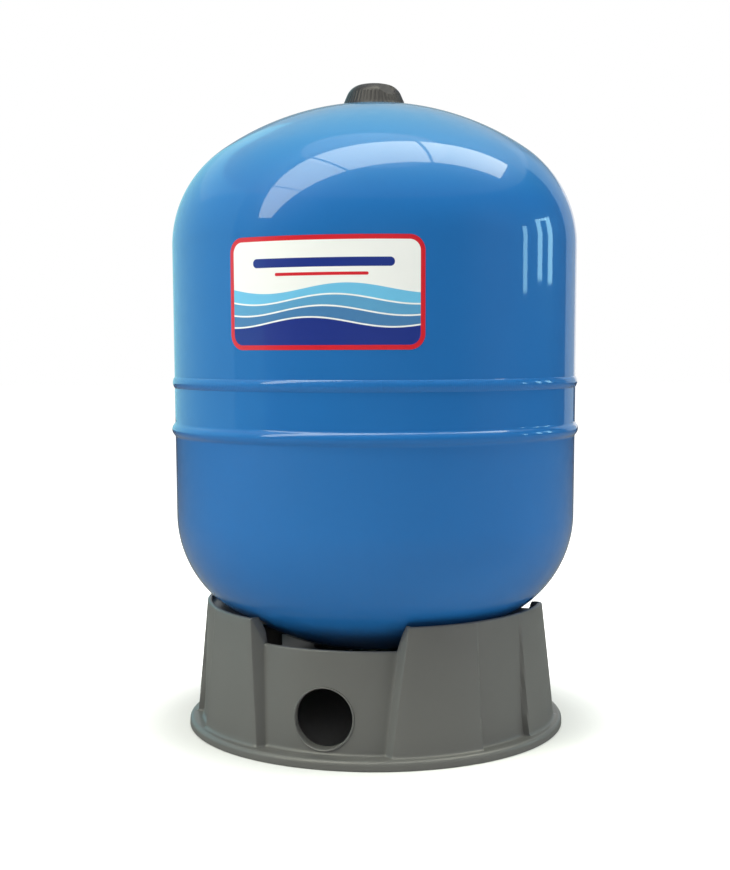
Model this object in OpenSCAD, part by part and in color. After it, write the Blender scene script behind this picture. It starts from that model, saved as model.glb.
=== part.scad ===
// Expansion tank: steel diaphragm tank standing in a moulded plastic stand.
// Millimetres, +Z up. Origin on the tank's axis at the floor, front towards -Y.

/* [Tank shell] */
// Outside diameter of the steel shell
tank_d = 406.4; // [398:0.2:416]
// Sheet thickness of both half shells
shell_t = 2; // [1.6:0.1:2.4]
// Straight length of each half shell
straight_len = 134; // [120:1:200]
// Radius of the knuckle between the wall and a dome
knuckle_r = 113; // [104:1:122]
// Radius of a dome's crown
crown_r = 272; // [260:1:290]
// Height of the bottom dome's lowest point above the floor
tank_lift = 77; // [74:0.5:79]

/* [Beads] */
// Distance of the rolled bead below the girth seam
bead_drop = 47; // [42:1:60]
// Width of the rolled bead
bead_w = 16; // [15:0.5:18]
// How far the rolled bead stands proud
bead_proud = 3.3; // [2.8:0.1:3.5]
// Fillet radius at the foot of the rolled bead
bead_fillet = 3.8; // [3:0.1:4.2]
// Width of the girth weld
weld_w = 11; // [8:0.5:12]
// How far the girth weld stands proud
weld_proud = 1.9; // [1:0.1:2.5]
// How far the lower shell reaches up inside the upper one
lap_len = 10; // [6:1:14]

/* [Water side] */
// Wall of the water liner
liner_t = 1.2; // [0.8:0.1:1.4]
// Wall of the diaphragm
diaphragm_t = 2.5; // [2:0.1:2.7]
// Height of liner and diaphragm above the middle of the rolled bead
rim_rise = 12; // [10:0.5:16]
// Height of the clamp ring
clamp_h = 18; // [16:0.5:22]
// Sheet thickness of the clamp ring
clamp_t = 2; // [1.5:0.1:2.5]
// Outside diameter of the water connection, 1 inch pipe thread
pipe_d = 33.4; // [32:0.1:34]
// Bore of the water connection
pipe_bore_d = 26; // [24:0.5:27]
// Height of the water connection's lower end above the floor
pipe_end_z = 56; // [53:1:60]
// Diameter of the connection's flange
flange_d = 54; // [46:1:60]
// Thickness of the connection's flange at its middle
flange_t = 6; // [4:0.5:8]
// Length of the liner's spout
spout_len = 14; // [10:0.5:16]
// Section of the spout's o-ring
o_ring_d = 2.6; // [2.2:0.1:2.8]

/* [Air valve] */
// Diameter of the valve boss
boss_d = 48; // [44:0.5:50]
// Height of the valve boss above the dome
boss_h = 5; // [4:0.5:6]
// Diameter of the valve's shank
shank_d = 13; // [11:0.5:14]
// Length of the shank below the boss's top
shank_len = 12; // [10:0.5:16]
// Thickness of the valve's flat seal
seal_t = 1; // [0.8:0.1:1.4]
// Width of the valve's hexagon across flats
hex_af = 16; // [15:0.5:18]
// Height of the valve's hexagon
hex_h = 3.5; // [3:0.5:4]
// Diameter of the valve stem
stem_d = 7.8; // [7.4:0.1:8.4]
// Height of the valve stem above the hexagon
stem_h = 6; // [5.5:0.1:6.4]
// Bore of the valve stem
stem_bore_d = 5.2; // [5:0.1:5.4]
// Diameter of the valve core's pin
pin_d = 1.6; // [1.4:0.1:1.8]
// How far the pin can be pressed in
pin_travel = 1.5; // [1:0.1:1.6]

/* [Protective cap] */
// Diameter of the cap at the dome
cap_d = 62.6; // [61:0.2:64]
// Height of the cap above the dome's top
cap_h = 19.6; // [19:0.1:21]
// Radius of the cap's shoulder
cap_round = 16.5; // [15:0.5:17.5]
// Draft of the cap's side in degrees
cap_draft = 24; // [20:0.5:25]
// Radius of the two finger scoops
scoop_r = 9.5; // [7:0.5:10]
// Wall thickness of the cap
cap_wall = 2; // [1.6:0.1:2.2]
// Number of ribs inside the cap
cap_rib_count = 6; // [4:1:8]

/* [Stand] */
// Radius of the skirt's wall at the floor
skirt_r = 186.3; // [184:0.1:188]
// Draft of the skirt's wall in degrees
skirt_draft = 5.5; // [5:0.1:6]
// Wall thickness of the stand
stand_t = 4; // [3.2:0.1:4.6]
// Height of the stand
stand_h = 130; // [128:0.5:133]
// Height of a window's rim
window_h = 105.5; // [98:0.5:110]
// Depth of the windows
window_depth = 13; // [10:0.5:15]
// Half width of a window at the floor, at its outer edge
window_half_w = 66; // [62:0.5:70]
// Angle of a window's side in plan
window_side_a = 40; // [35:1:48]
// Lean of a window's side
window_lean = 12; // [9:0.5:14]
// Width of a grip recess
grip_w = 65; // [50:1:80]
// Depth of a grip recess at the floor
grip_depth = 7; // [4:0.5:9]
// Draft of a grip recess's floor in degrees
grip_draft = 2.7; // [2:0.1:4]
// Radius of the foot
foot_r = 193.6; // [192:0.1:198]
// Height of the foot
foot_h = 9.5; // [8:0.5:11]
// Radius of the foot's rounded edge
foot_round = 4.5; // [3:0.5:6]
// Radius of the rounded top edge
rim_round = 1.8; // [1:0.1:2]
// Depth of the seats' top below the stand's top
seat_drop = 6; // [5.5:0.5:8]
// Radius of the pipe hole
hole_r = 28; // [24:0.5:29]
// Height of the pipe hole's centre above the floor
hole_z = 42; // [40:0.5:43]
// Wall of the pipe hole's collar
collar_t = 2; // [1.5:0.5:4]
// Length of the pipe hole's collar, inwards from the window's face at the hole's centre
collar_len = 8; // [8:1:24]
// Height of the deck's top above the floor
deck_z = 78; // [76:0.5:79]
// Radius of the deck's opening
deck_open_r = 64; // [56:1:70]
// Height of the deck's stiffening ring
deck_ring_h = 10; // [6:1:14]
// Inner end of the ribs, from the axis
rib_r = 78; // [74:1:84]
// Rib thickness
rib_t = 3.5; // [3:0.1:4]
// Angle of the ribs from the middle of a buttress
rib_a = 14; // [12:0.5:18]
// Height of a rib's lower edge above the floor at the skirt
rib_z = 18; // [12:1:30]

/* [Stand fixing] */
// Distance of the studs from the axis
stud_pcr = 112; // [106:1:118]
// Diameter of a stud
stud_d = 8; // [7:0.5:8.5]
// Height of a stud's lower end above the floor
stud_end_z = 59; // [56:1:61]
// Diameter of the spacer round a stud
spacer_d = 26; // [22:1:30]
// Diameter of a washer
washer_d = 20; // [18:0.5:22]
// Thickness of a washer
washer_t = 1.6; // [1.2:0.1:2]
// Height of a nut
nut_h = 6.5; // [6:0.1:7]
// Width of a nut across flats
nut_af = 13; // [12:0.5:14]

/* [Label] */
// Width of the label, along the wall
label_w = 186; // [150:1:200]
// Height of the label
label_h = 100; // [70:1:104]
// Radius of the label's corners
label_round = 14; // [4:1:24]
// Thickness of the label
label_t = 0.25; // [0.2:0.05:0.5]
// Distance of the label's top below the top dome's knuckle
label_drop = 2; // [1:0.5:20]
// Turn of the label from the front, in degrees
label_turn = 3; // [-6:1:6]

/* [Fits] */
// Gap between curved layers that lie on each other
layer_gap = 0.15; // [0.1:0.05:0.2]
// Gap at welds and pressed seats
weld_gap = 0.05; // [0.03:0.01:0.08]
// Gap between the tank and its seats on the stand
seat_gap = 0.3; // [0.25:0.05:0.4]
// Gap between the cap and what it covers
cap_gap = 0.35; // [0.3:0.05:0.45]
// Running gap round the valve pin
pin_gap = 0.08; // [0.06:0.01:0.1]
// Gap round a stud in its hole
stud_gap = 0.5; // [0.4:0.1:0.7]

/* [Hidden] */
$fn = 96;
BIG = 600;

tank_r = tank_d / 2;
// The crown's centre lies this far behind the knuckle's centre
crown_c = sqrt(pow(crown_r - knuckle_r, 2) - pow(tank_r - knuckle_r, 2));
crown_a = atan2(crown_c, tank_r - knuckle_r);
arc_tie_a = 2;
dome_h = crown_r - crown_c;
seam_z = tank_lift + dome_h + straight_len;
top_z = seam_z + straight_len + dome_h;
bead_z = seam_z - bead_drop;
layer_1 = shell_t + layer_gap;
layer_2 = layer_1 + liner_t + layer_gap;
layer_3 = layer_2 + diaphragm_t + layer_gap;
// Crest radius and crest angle of the rolled bead
bead_a = 2 * atan2(bead_proud, bead_w / 2);
bead_crest = bead_w / 2 / sin(bead_a) - bead_fillet;
joggle_h = 3;
weld_crest = (pow(weld_w / 2, 2) + pow(weld_proud, 2)) / (2 * weld_proud);

pipe_r = pipe_d / 2;
pipe_bore_r = pipe_bore_d / 2;
spout_wall = 1.5;
spout_r = pipe_bore_r - spout_wall;
groove_drop = 4;
groove_z = tank_lift - groove_drop;
weld_leg = 4;

boss_r = boss_d / 2;
boss_top = top_z + boss_h;
hex_z = boss_top + seal_t + 2 * weld_gap;
stem_top = hex_z + hex_h + stem_h;
shank_r = shank_d / 2;
stem_bore_r = stem_bore_d / 2;
barrel_drop = 1.2;
barrel_top = stem_top - barrel_drop;
barrel_h = 8;
barrel_z = barrel_top - barrel_h;
pin_r = pin_d / 2;
pin_drop = 0.4;
pin_top = stem_top - pin_drop;
pin_head_h = 0.6;
pin_head_step = 0.75;
pin_head_r = pin_r + pin_head_step;
core_play = 0.1;
pin_head_z = barrel_top - pin_head_h - core_play;
core_room_r = pin_head_r + pin_gap;
core_room_h = 4.2;
gasket_h = 1.2;
gasket_room = 0.5;
gasket_r = stem_bore_r - gasket_room;
gasket_z = barrel_z - gasket_h - core_play;
press_gap = 0.01;
air_way_step = 0.7;
shank_room = 1;
spring_wire = 0.3;
spring_turns = 5;

cap_r = cap_d / 2;
cap_top = top_z + cap_h;
cap_skirt = 4;
cap_rib_t = 1.6;
scoop_turn = 52;
scoop_reach = 20;
scoop_drop = 6;
scoop_tilt = 45;

window_turns = [0, 120, 240];
grip_turns = [60, 180, 300];
grip_floor_r = skirt_r - grip_depth;
collar_face = 1.2;
slope_play = 0.6;
tan_draft = tan(skirt_draft);
window_y = sqrt(pow(skirt_r, 2) - pow(window_half_w, 2));

// Height of a dome's surface above its pole at distance r from the axis
function dome_rise(r, inset = 0) = r < (crown_r - inset) * cos(crown_a)
    ? crown_r - sqrt(pow(crown_r - inset, 2) - r * r)
    : dome_h - sqrt(pow(knuckle_r - inset, 2) - pow(r - tank_r + knuckle_r, 2));
// Radius of the skirt's wall at height z
function skirt_at(z) = skirt_r - z * tan_draft;

// Half section of one half shell above the seam, moved inwards by inset
module half_section(inset) {
    knuckle = [tank_r - knuckle_r, straight_len];
    crown = [0, straight_len - crown_c];
    reach = 1.4 * crown_r;
    tangent = [cos(crown_a), sin(crown_a)];
    intersection() {
        square([BIG, BIG]);
        union() {
            square([tank_r - inset, straight_len]);
            intersection() {
                translate(knuckle) circle(knuckle_r - inset, $fn = 180);
                polygon([knuckle, knuckle + [reach, 0], knuckle + reach * tangent]);
            }
            intersection() {
                translate(crown) circle(crown_r - inset, $fn = 360);
                polygon([crown, crown + reach * tangent, crown + [0, reach]]);
            }
            // Ties the two arcs together where they meet
            polygon([knuckle, for (a = [-arc_tie_a, arc_tie_a])
                knuckle + (knuckle_r - inset) * cos(arc_tie_a) * [cos(crown_a + a), sin(crown_a + a)]]);
        }
    }
}

// Rolled bead of the lower shell, moved inwards by inset
module bead_section(inset) {
    crest = [tank_r + bead_proud - bead_crest, bead_z];
    foot = [tank_r + bead_fillet, bead_w / 2];
    turn = (bead_crest - inset) * [cos(bead_a), sin(bead_a)];
    wall = tank_r - inset;
    difference() {
        union() {
            translate(crest) circle(bead_crest - inset);
            polygon([
                [wall - shell_t, bead_z - bead_w / 2], [wall, bead_z - bead_w / 2],
                crest + [turn.x, -turn.y], crest + turn,
                [wall, bead_z + bead_w / 2], [wall - shell_t, bead_z + bead_w / 2]
            ]);
        }
        for (s = [-1, 1])
            translate([foot.x, bead_z + s * foot.y]) circle(bead_fillet + inset);
    }
}

// Lower half section with its bead, moved inwards by inset
module lower_section(inset) {
    translate([0, seam_z]) mirror([0, 1]) half_section(inset);
    bead_section(inset);
}

// Layer of the lower half between two insets, up to height z
module lower_layer(from, to, z) {
    rotate_extrude() intersection() {
        difference() {
            lower_section(from);
            lower_section(to);
        }
        square([BIG, z]);
    }
}

// Both domes as a solid, grown by gap, to seat other pieces on
module tank_solid(gap) {
    rotate_extrude() {
        translate([0, seam_z]) half_section(-gap);
        translate([0, seam_z]) mirror([0, 1]) half_section(-gap);
    }
}

module upper_shell() {
    color("steelblue") difference() {
        rotate_extrude() translate([0, seam_z]) difference() {
            half_section(0);
            half_section(shell_t);
        }
        translate([0, 0, top_z - dome_h]) cylinder(h = BIG, r = shank_r + shank_room);
    }
}

// Joggle that takes the lower shell's edge inwards, under the upper shell
module joggle_section() {
    translate([tank_r - shell_t, seam_z - joggle_h])
        polygon([[shell_t, 0], [shell_t, joggle_h], [0, joggle_h]]);
}

module lower_shell() {
    color("steelblue") difference() {
        rotate_extrude() {
            difference() {
                lower_section(0);
                lower_section(shell_t);
                joggle_section();
            }
            translate([-shell_t, 0]) joggle_section();
            translate([tank_r - 2 * shell_t, seam_z]) square([shell_t, lap_len]);
        }
        cylinder(h = tank_lift + dome_h, r = pipe_r + weld_gap);
    }
}

module girth_weld() {
    color("steelblue") rotate_extrude() {
        intersection() {
            translate([tank_r + weld_proud - weld_crest, seam_z]) circle(weld_crest);
            translate([tank_r, seam_z - weld_w]) square([weld_w, 2 * weld_w]);
        }
        joggle_section();
    }
}

module water_liner() {
    spout_z = tank_lift + layer_1 - spout_len;
    color("white") difference() {
        union() {
            lower_layer(layer_1, layer_1 + liner_t, bead_z + rim_rise);
            translate([0, 0, spout_z])
                cylinder(h = spout_len + liner_t / 2, r = spout_r);
        }
        translate([0, 0, spout_z - 1])
            cylinder(h = spout_len + liner_t + 3, r = spout_r - spout_wall);
    }
}

module diaphragm() {
    color("dimgray") lower_layer(layer_2, layer_2 + diaphragm_t, bead_z + rim_rise);
}

module clamp_ring() {
    wall = tank_r - layer_3;
    color("silver") rotate_extrude() difference() {
        union() {
            translate([wall - clamp_t, bead_z - clamp_h / 2]) square([clamp_t, clamp_h]);
            bead_section(layer_3);
        }
        translate([0, bead_z - clamp_h]) square([wall - clamp_t, 2 * clamp_h]);
    }
}

module water_connection() {
    color("silver") rotate_extrude() difference() {
        union() {
            translate([pipe_bore_r, pipe_end_z])
                square([pipe_r - pipe_bore_r, tank_lift + shell_t - pipe_end_z]);
            difference() {
                translate([pipe_bore_r, tank_lift - flange_t])
                    square([flange_d / 2 - pipe_bore_r, flange_t + dome_rise(flange_d / 2)]);
                lower_section(-weld_gap);
            }
        }
        translate([0, groove_z - o_ring_d / 2 - layer_gap])
            square([spout_r + o_ring_d + layer_gap + weld_gap, o_ring_d + 2 * layer_gap]);
    }
}

module connection_weld() {
    inner = flange_d / 2 + weld_gap;
    color("gray") rotate_extrude() difference() {
        translate([inner, tank_lift - flange_t / 2])
            polygon([[0, 0], [weld_leg, flange_t / 2 + 2], [weld_leg, BIG], [0, BIG]]);
        lower_section(-weld_gap);
        translate([0, seam_z]) square([BIG, BIG]);
    }
}

module spout_o_ring() {
    color("black") rotate_extrude()
        translate([spout_r + o_ring_d / 2 + weld_gap, groove_z]) circle(o_ring_d / 2, $fn = 32);
}

module valve_boss() {
    hole = shank_r + weld_gap;
    color("silver") rotate_extrude() difference() {
        translate([hole, top_z - cap_skirt]) square([boss_r - hole, boss_h + cap_skirt]);
        translate([0, seam_z]) half_section(-weld_gap);
    }
}

module air_valve_body() {
    color("goldenrod") difference() {
        union() {
            translate([0, 0, boss_top - shank_len])
                cylinder(h = hex_z + hex_h / 2 - boss_top + shank_len, r = shank_r);
            translate([0, 0, hex_z]) cylinder(h = hex_h, r = hex_af / 2 / cos(30), $fn = 6);
            translate([0, 0, hex_z + hex_h / 2]) cylinder(h = hex_h / 2 + stem_h, r = stem_d / 2);
        }
        translate([0, 0, gasket_z - pin_travel - gasket_h]) cylinder(h = BIG, r = stem_bore_r);
        translate([0, 0, boss_top - shank_len - 1]) cylinder(h = shank_len, r = stem_bore_r - air_way_step);
    }
}

module valve_seal() {
    color("black") translate([0, 0, boss_top + weld_gap]) difference() {
        cylinder(h = seal_t, r = hex_af / 2);
        translate([0, 0, -1]) cylinder(h = seal_t + 2, r = shank_r + layer_gap);
    }
}

module valve_core_barrel() {
    color("goldenrod") translate([0, 0, barrel_z]) difference() {
        cylinder(h = barrel_h, r = stem_bore_r - weld_gap);
        translate([0, 0, -1]) cylinder(h = barrel_h + 2, r = pin_r + pin_gap);
        translate([0, 0, barrel_h - core_room_h]) cylinder(h = core_room_h + 1, r = core_room_r);
    }
}

module valve_core_pin() {
    color("silver") {
        translate([0, 0, gasket_z]) cylinder(h = pin_top - gasket_z, r = pin_r);
        translate([0, 0, pin_head_z]) cylinder(h = pin_head_h, r = pin_head_r);
    }
}

module valve_core_gasket() {
    color("black") translate([0, 0, gasket_z]) difference() {
        cylinder(h = gasket_h, r = gasket_r);
        translate([0, 0, -1]) cylinder(h = gasket_h + 2, r = pin_r + press_gap);
    }
}

// Round wire wound on a helix, with closed flat ends inside the room above and below
module valve_core_spring() {
    steps = 12;
    sides = 6;
    coil_r = (pin_r + core_room_r) / 2;
    low = barrel_top - core_room_h + spring_wire / 2 + weld_gap;
    high = pin_head_z - spring_wire / 2 - weld_gap;
    count = spring_turns * steps;
    points = [
        for (i = [0:count], j = [0:sides - 1])
            let (turn = i * 360 / steps, side = j * 360 / sides,
                r = coil_r + spring_wire / 2 * cos(side))
            [r * cos(turn), r * sin(turn), low + (high - low) * i / count + spring_wire / 2 * sin(side)]
    ];
    faces = [
        [for (j = [0:sides - 1]) j],
        [for (j = [sides - 1:-1:0]) count * sides + j],
        for (i = [0:count - 1], j = [0:sides - 1])
            let (a = i * sides + j, b = i * sides + (j + 1) % sides)
            [a, a + sides, b + sides, b]
    ];
    color("silver") polyhedron(points, faces);
}

// Half section of the cap, moved inwards by inset
module cap_section(inset) {
    side = [cos(cap_draft), sin(cap_draft)];
    side_h = cap_h - cap_round * (1 - sin(cap_draft));
    shoulder = [cap_r - side_h * tan(cap_draft) - cap_round * cos(cap_draft), cap_top - cap_round];
    touch = shoulder + (cap_round - inset) * side;
    edge = top_z - cap_skirt - inset;
    intersection() {
        union() {
            translate(shoulder) circle(cap_round - inset);
            polygon([
                [0, edge], [touch.x + (touch.y - edge) * tan(cap_draft), edge],
                touch, shoulder, [shoulder.x, cap_top - inset], [0, cap_top - inset]
            ]);
        }
        translate([0, edge]) square([BIG, BIG]);
    }
}

// Flat-bottomed scoops in the cap's shoulder
module cap_scoops() {
    for (a = [scoop_turn, scoop_turn + 180])
        rotate(a) translate([0, -scoop_reach, cap_top - scoop_drop]) rotate([scoop_tilt, 0, 0])
            cylinder(h = cap_r, r = scoop_r);
}

// Ribs inside the cap that grip the boss
module cap_ribs() {
    difference() {
        for (i = [0:cap_rib_count - 1]) rotate((i + 0.5) * 360 / cap_rib_count)
            translate([0, -cap_rib_t / 2, top_z - cap_skirt]) cube([cap_r, cap_rib_t, cap_skirt + boss_h]);
        translate([0, 0, seam_z]) cylinder(h = BIG, r = boss_r + cap_gap);
    }
}

module protective_cap() {
    color("#2b2b2d") difference() {
        rotate_extrude() difference() {
            cap_section(0);
            translate([0, seam_z]) half_section(-cap_gap);
        }
        difference() {
            rotate_extrude() intersection() {
                cap_section(cap_wall);
                translate([scoop_reach, cap_top - scoop_drop]) rotate(-scoop_tilt)
                    translate([-BIG, -BIG - cap_wall]) square([2 * BIG, BIG]);
            }
            cap_ribs();
        }
        cap_scoops();
    }
}

// Corner of a window's side at the floor, seen from the axis towards -Y
module window_side(grow) {
    translate([window_half_w, -window_y, 0]) rotate(90 - window_side_a) rotate([0, window_lean, 0])
        translate([-BIG, -BIG / 2, -BIG / 2]) cube([BIG + grow, BIG, BIG]);
}

// Wedge of one window, grown by grow into the buttresses
module window_wedge(grow) {
    intersection() {
        window_side(grow);
        mirror([1, 0, 0]) window_side(grow);
    }
}

// Cone that follows the skirt's wall, moved inwards by inset, between two heights
module skirt_cone(inset, low, high) {
    translate([0, 0, low])
        cylinder(h = high - low, r1 = skirt_at(low) - inset, r2 = skirt_at(high) - inset, $fn = 180);
}

// The same cone from the floor up, with its top edge rounded
module rounded_cone(inset, high) {
    rotate_extrude($fn = 180) {
        corner = [skirt_at(high) - inset - rim_round, high - rim_round];
        polygon([[0, 0], [skirt_r - inset, 0], [skirt_at(corner.y) - inset, corner.y],
            corner, [corner.x, high], [0, high]]);
        translate(corner) intersection() {
            circle(rim_round, $fn = 32);
            square([rim_round, rim_round]);
        }
    }
}

// Cone of a grip recess's floor, moved inwards by inset
module grip_cone(inset) {
    low = -2;
    high = stand_h + 2;
    translate([0, 0, low]) cylinder(h = high - low, r1 = grip_floor_r - low * tan(grip_draft) - inset,
        r2 = grip_floor_r - high * tan(grip_draft) - inset, $fn = 180);
}

// Skirt as a solid block: cone, windows and grip recesses
module skirt_outside() {
    difference() {
        rounded_cone(0, stand_h);
        for (a = window_turns) rotate(a) difference() {
            window_wedge(0);
            rounded_cone(window_depth, window_h);
        }
        for (a = grip_turns) rotate(a) difference() {
            translate([-grip_w / 2, -BIG, -1]) cube([grip_w, BIG, BIG]);
            grip_cone(0);
        }
    }
}

// Room inside the skirt's wall, before the parts that stand in it
module skirt_inside() {
    difference() {
        skirt_cone(stand_t, -1, stand_h + 1);
        for (a = window_turns) rotate(a) difference() {
            window_wedge(stand_t);
            skirt_cone(window_depth + stand_t, -2, stand_h + 2);
        }
        for (a = grip_turns) rotate(a) difference() {
            translate([-grip_w / 2 - stand_t, -BIG, -2]) cube([grip_w + 2 * stand_t, BIG, BIG]);
            grip_cone(stand_t);
        }
    }
}

// Shelf all round the skirt's foot with its turned-down, rounded lip
module foot() {
    shelf_r = skirt_r - window_depth - 2 * stand_t;
    rotate_extrude($fn = 180) difference() {
        union() {
            translate([shelf_r, 0]) square([foot_r - foot_round - shelf_r, foot_h]);
            translate([shelf_r, 0]) square([foot_r - shelf_r, foot_h - foot_round]);
            translate([foot_r - foot_round, foot_h - foot_round]) circle(foot_round);
        }
        translate([0, -1]) square([foot_r - stand_t, foot_h - stand_t + 1]);
    }
}

// Room above the slope from a buttress's top down to a window's rim, clear of the dome
module window_slopes() {
    start = [skirt_at(window_h) - window_depth, window_h + slope_play];
    end = [skirt_at(stand_h) - rim_round - slope_play, stand_h];
    past = end + (end - start) / (end.y - start.y);
    for (a = window_turns) rotate(a) intersection() {
        window_wedge(stand_t + slope_play);
        rotate_extrude($fn = 180) polygon([[0, start.y], start, past, [0, past.y]]);
    }
}

// Lip along the inside of each buttress, its edge follows the dome
module seat_lip() {
    rotate_extrude($fn = 180) difference() {
        translate([stud_pcr, stand_h - seat_drop - stand_t]) square([skirt_r - stud_pcr, stand_t]);
        lower_section(-seat_gap);
    }
}

// Deck with its opening and stiffening ring
module deck() {
    difference() {
        union() {
            translate([0, 0, deck_z - stand_t]) cylinder(h = stand_t, r = skirt_r + 1);
            translate([0, 0, deck_z - stand_t - deck_ring_h])
                cylinder(h = deck_ring_h + stand_t / 2, r = deck_open_r + stand_t);
        }
        translate([0, 0, deck_z - BIG / 2]) cylinder(h = BIG, r = deck_open_r);
    }
}

// Two ribs below the deck in each buttress
module ribs() {
    for (a = grip_turns, s = [-1, 1])
        rotate(a + s * rib_a) translate([rib_t / 2, 0, 0]) rotate([90, 0, -90])
            linear_extrude(rib_t) polygon([
                [rib_r, deck_z - stand_t / 2], [skirt_r, deck_z - stand_t / 2],
                [skirt_r, rib_z], [rib_r, deck_z - stand_t - deck_ring_h]
            ]);
}

// Spacers that carry the dome round the studs
module stud_spacers() {
    for (a = grip_turns) rotate(a) difference() {
        translate([0, -stud_pcr, deck_z - stand_t / 2])
            cylinder(h = dome_rise(stud_pcr + spacer_d) + tank_lift - deck_z, r = spacer_d / 2);
        tank_solid(seat_gap);
    }
}

// Collar round the pipe hole, its face follows the window's wall
module hole_collar() {
    intersection() {
        translate([0, 0, hole_z]) rotate([90, 0, 0])
            translate([0, 0, skirt_at(hole_z) - window_depth - collar_len])
            cylinder(h = BIG, r = hole_r + collar_t);
        skirt_cone(window_depth - collar_face, -1, stand_h);
    }
}

module base_stand() {
    color("gray") difference() {
        union() {
            skirt_outside();
            foot();
            hole_collar();
        }
        difference() {
            skirt_inside();
            seat_lip();
            deck();
            ribs();
            stud_spacers();
            hole_collar();
        }
        window_slopes();
        translate([0, 0, hole_z]) rotate([90, 0, 0]) cylinder(h = BIG, r = hole_r);
        for (a = grip_turns) rotate(a) translate([0, -stud_pcr, 0])
            cylinder(h = BIG, r = stud_d / 2 + stud_gap);
    }
}

module weld_studs() {
    color("silver") for (a = grip_turns) rotate(a) difference() {
        translate([0, -stud_pcr, stud_end_z])
            cylinder(h = tank_lift + dome_rise(stud_pcr + stud_d) - stud_end_z, r = stud_d / 2);
        tank_solid(weld_gap);
    }
}

module stud_washers() {
    color("silver") for (a = grip_turns)
        rotate(a) translate([0, -stud_pcr, deck_z - stand_t - weld_gap - washer_t]) difference() {
            cylinder(h = washer_t, r = washer_d / 2);
            translate([0, 0, -1]) cylinder(h = washer_t + 2, r = stud_d / 2 + stud_gap);
        }
}

module stud_nuts() {
    color("silver") for (a = grip_turns)
        rotate(a) translate([0, -stud_pcr, deck_z - stand_t - 2 * weld_gap - washer_t - nut_h])
            difference() {
                cylinder(h = nut_h, r = nut_af / 2 / cos(30), $fn = 6);
                translate([0, 0, -1]) cylinder(h = nut_h + 2, r = stud_d / 2 + weld_gap);
            }
}

// Rounded outline, centred
module label_outline(w, h, r) {
    square([w, h - 2 * r], center = true);
    square([w - 2 * r, h], center = true);
    for (x = [-1, 1], y = [-1, 1])
        translate([x * (w / 2 - r), y * (h / 2 - r)]) circle(r, $fn = 48);
}

module front_label() {
    inner = tank_r + weld_gap;
    chord = 2 * inner * sin(label_w / inner * 90 / PI);
    top = seam_z + straight_len - label_drop;
    color("white") rotate(label_turn) intersection() {
        translate([0, 0, top - label_h / 2]) rotate([90, 0, 0]) linear_extrude(BIG)
            label_outline(chord, label_h, label_round);
        rotate_extrude() translate([inner, top - label_h]) square([label_t, label_h]);
    }
}

upper_shell();
lower_shell();
girth_weld();
diaphragm();
water_liner();
clamp_ring();
water_connection();
connection_weld();
spout_o_ring();
valve_boss();
air_valve_body();
valve_seal();
valve_core_barrel();
valve_core_pin();
valve_core_spring();
valve_core_gasket();
protective_cap();
base_stand();
weld_studs();
stud_washers();
stud_nuts();
front_label();
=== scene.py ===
"""Expansion tank: the visible pieces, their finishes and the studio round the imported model. Lengths in metres."""
import math

import bmesh
import bpy
import numpy as np
from bpy.props import FloatProperty, FloatVectorProperty, IntProperty, PointerProperty
from mathutils import Matrix, Vector


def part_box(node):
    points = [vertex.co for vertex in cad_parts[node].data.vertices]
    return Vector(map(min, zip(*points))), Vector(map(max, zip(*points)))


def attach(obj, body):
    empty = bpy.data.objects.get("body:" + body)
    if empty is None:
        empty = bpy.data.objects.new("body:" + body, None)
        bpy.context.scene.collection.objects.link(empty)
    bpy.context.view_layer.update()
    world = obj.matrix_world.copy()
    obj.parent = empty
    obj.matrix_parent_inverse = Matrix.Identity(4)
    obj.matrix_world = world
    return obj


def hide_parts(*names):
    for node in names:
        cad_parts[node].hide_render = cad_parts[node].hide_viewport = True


bl_info = {
    "name": "Expansion tank",
    "version": (1, 0, 0),
    "blender": (4, 5, 0),
    "location": "3D View > Sidebar > Expansion tank",
    "description": "Builds an expansion tank on its moulded stand, with its finishes and a studio",
    "category": "Object",
}

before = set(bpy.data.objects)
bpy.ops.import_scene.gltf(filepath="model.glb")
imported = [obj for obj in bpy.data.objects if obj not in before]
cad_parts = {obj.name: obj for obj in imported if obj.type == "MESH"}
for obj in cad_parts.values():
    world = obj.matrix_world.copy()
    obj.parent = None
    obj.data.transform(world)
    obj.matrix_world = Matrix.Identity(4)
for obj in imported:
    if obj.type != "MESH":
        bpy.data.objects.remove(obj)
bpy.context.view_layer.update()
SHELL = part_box("upper_shell")
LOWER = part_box("lower_shell")
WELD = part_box("girth_weld")
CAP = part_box("protective_cap")
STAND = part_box("base_stand")
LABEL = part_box("front_label")
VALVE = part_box("air_valve_body")
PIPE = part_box("water_connection")
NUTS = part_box("stud_nuts")
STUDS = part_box("weld_studs")


# Sizes and colours that a user would change

def length(name, description, default, low=0.0):
    return FloatProperty(name=name, description=description, default=default, min=low, unit="LENGTH", precision=4)


def angle(name, description, degrees):
    return FloatProperty(name=name, description=description, default=math.radians(degrees), subtype="ANGLE")


def paint(name, description, colour):
    return FloatVectorProperty(name=name, description=description, default=colour, size=3, min=0.0, max=1.0,
                               subtype="COLOR")


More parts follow.
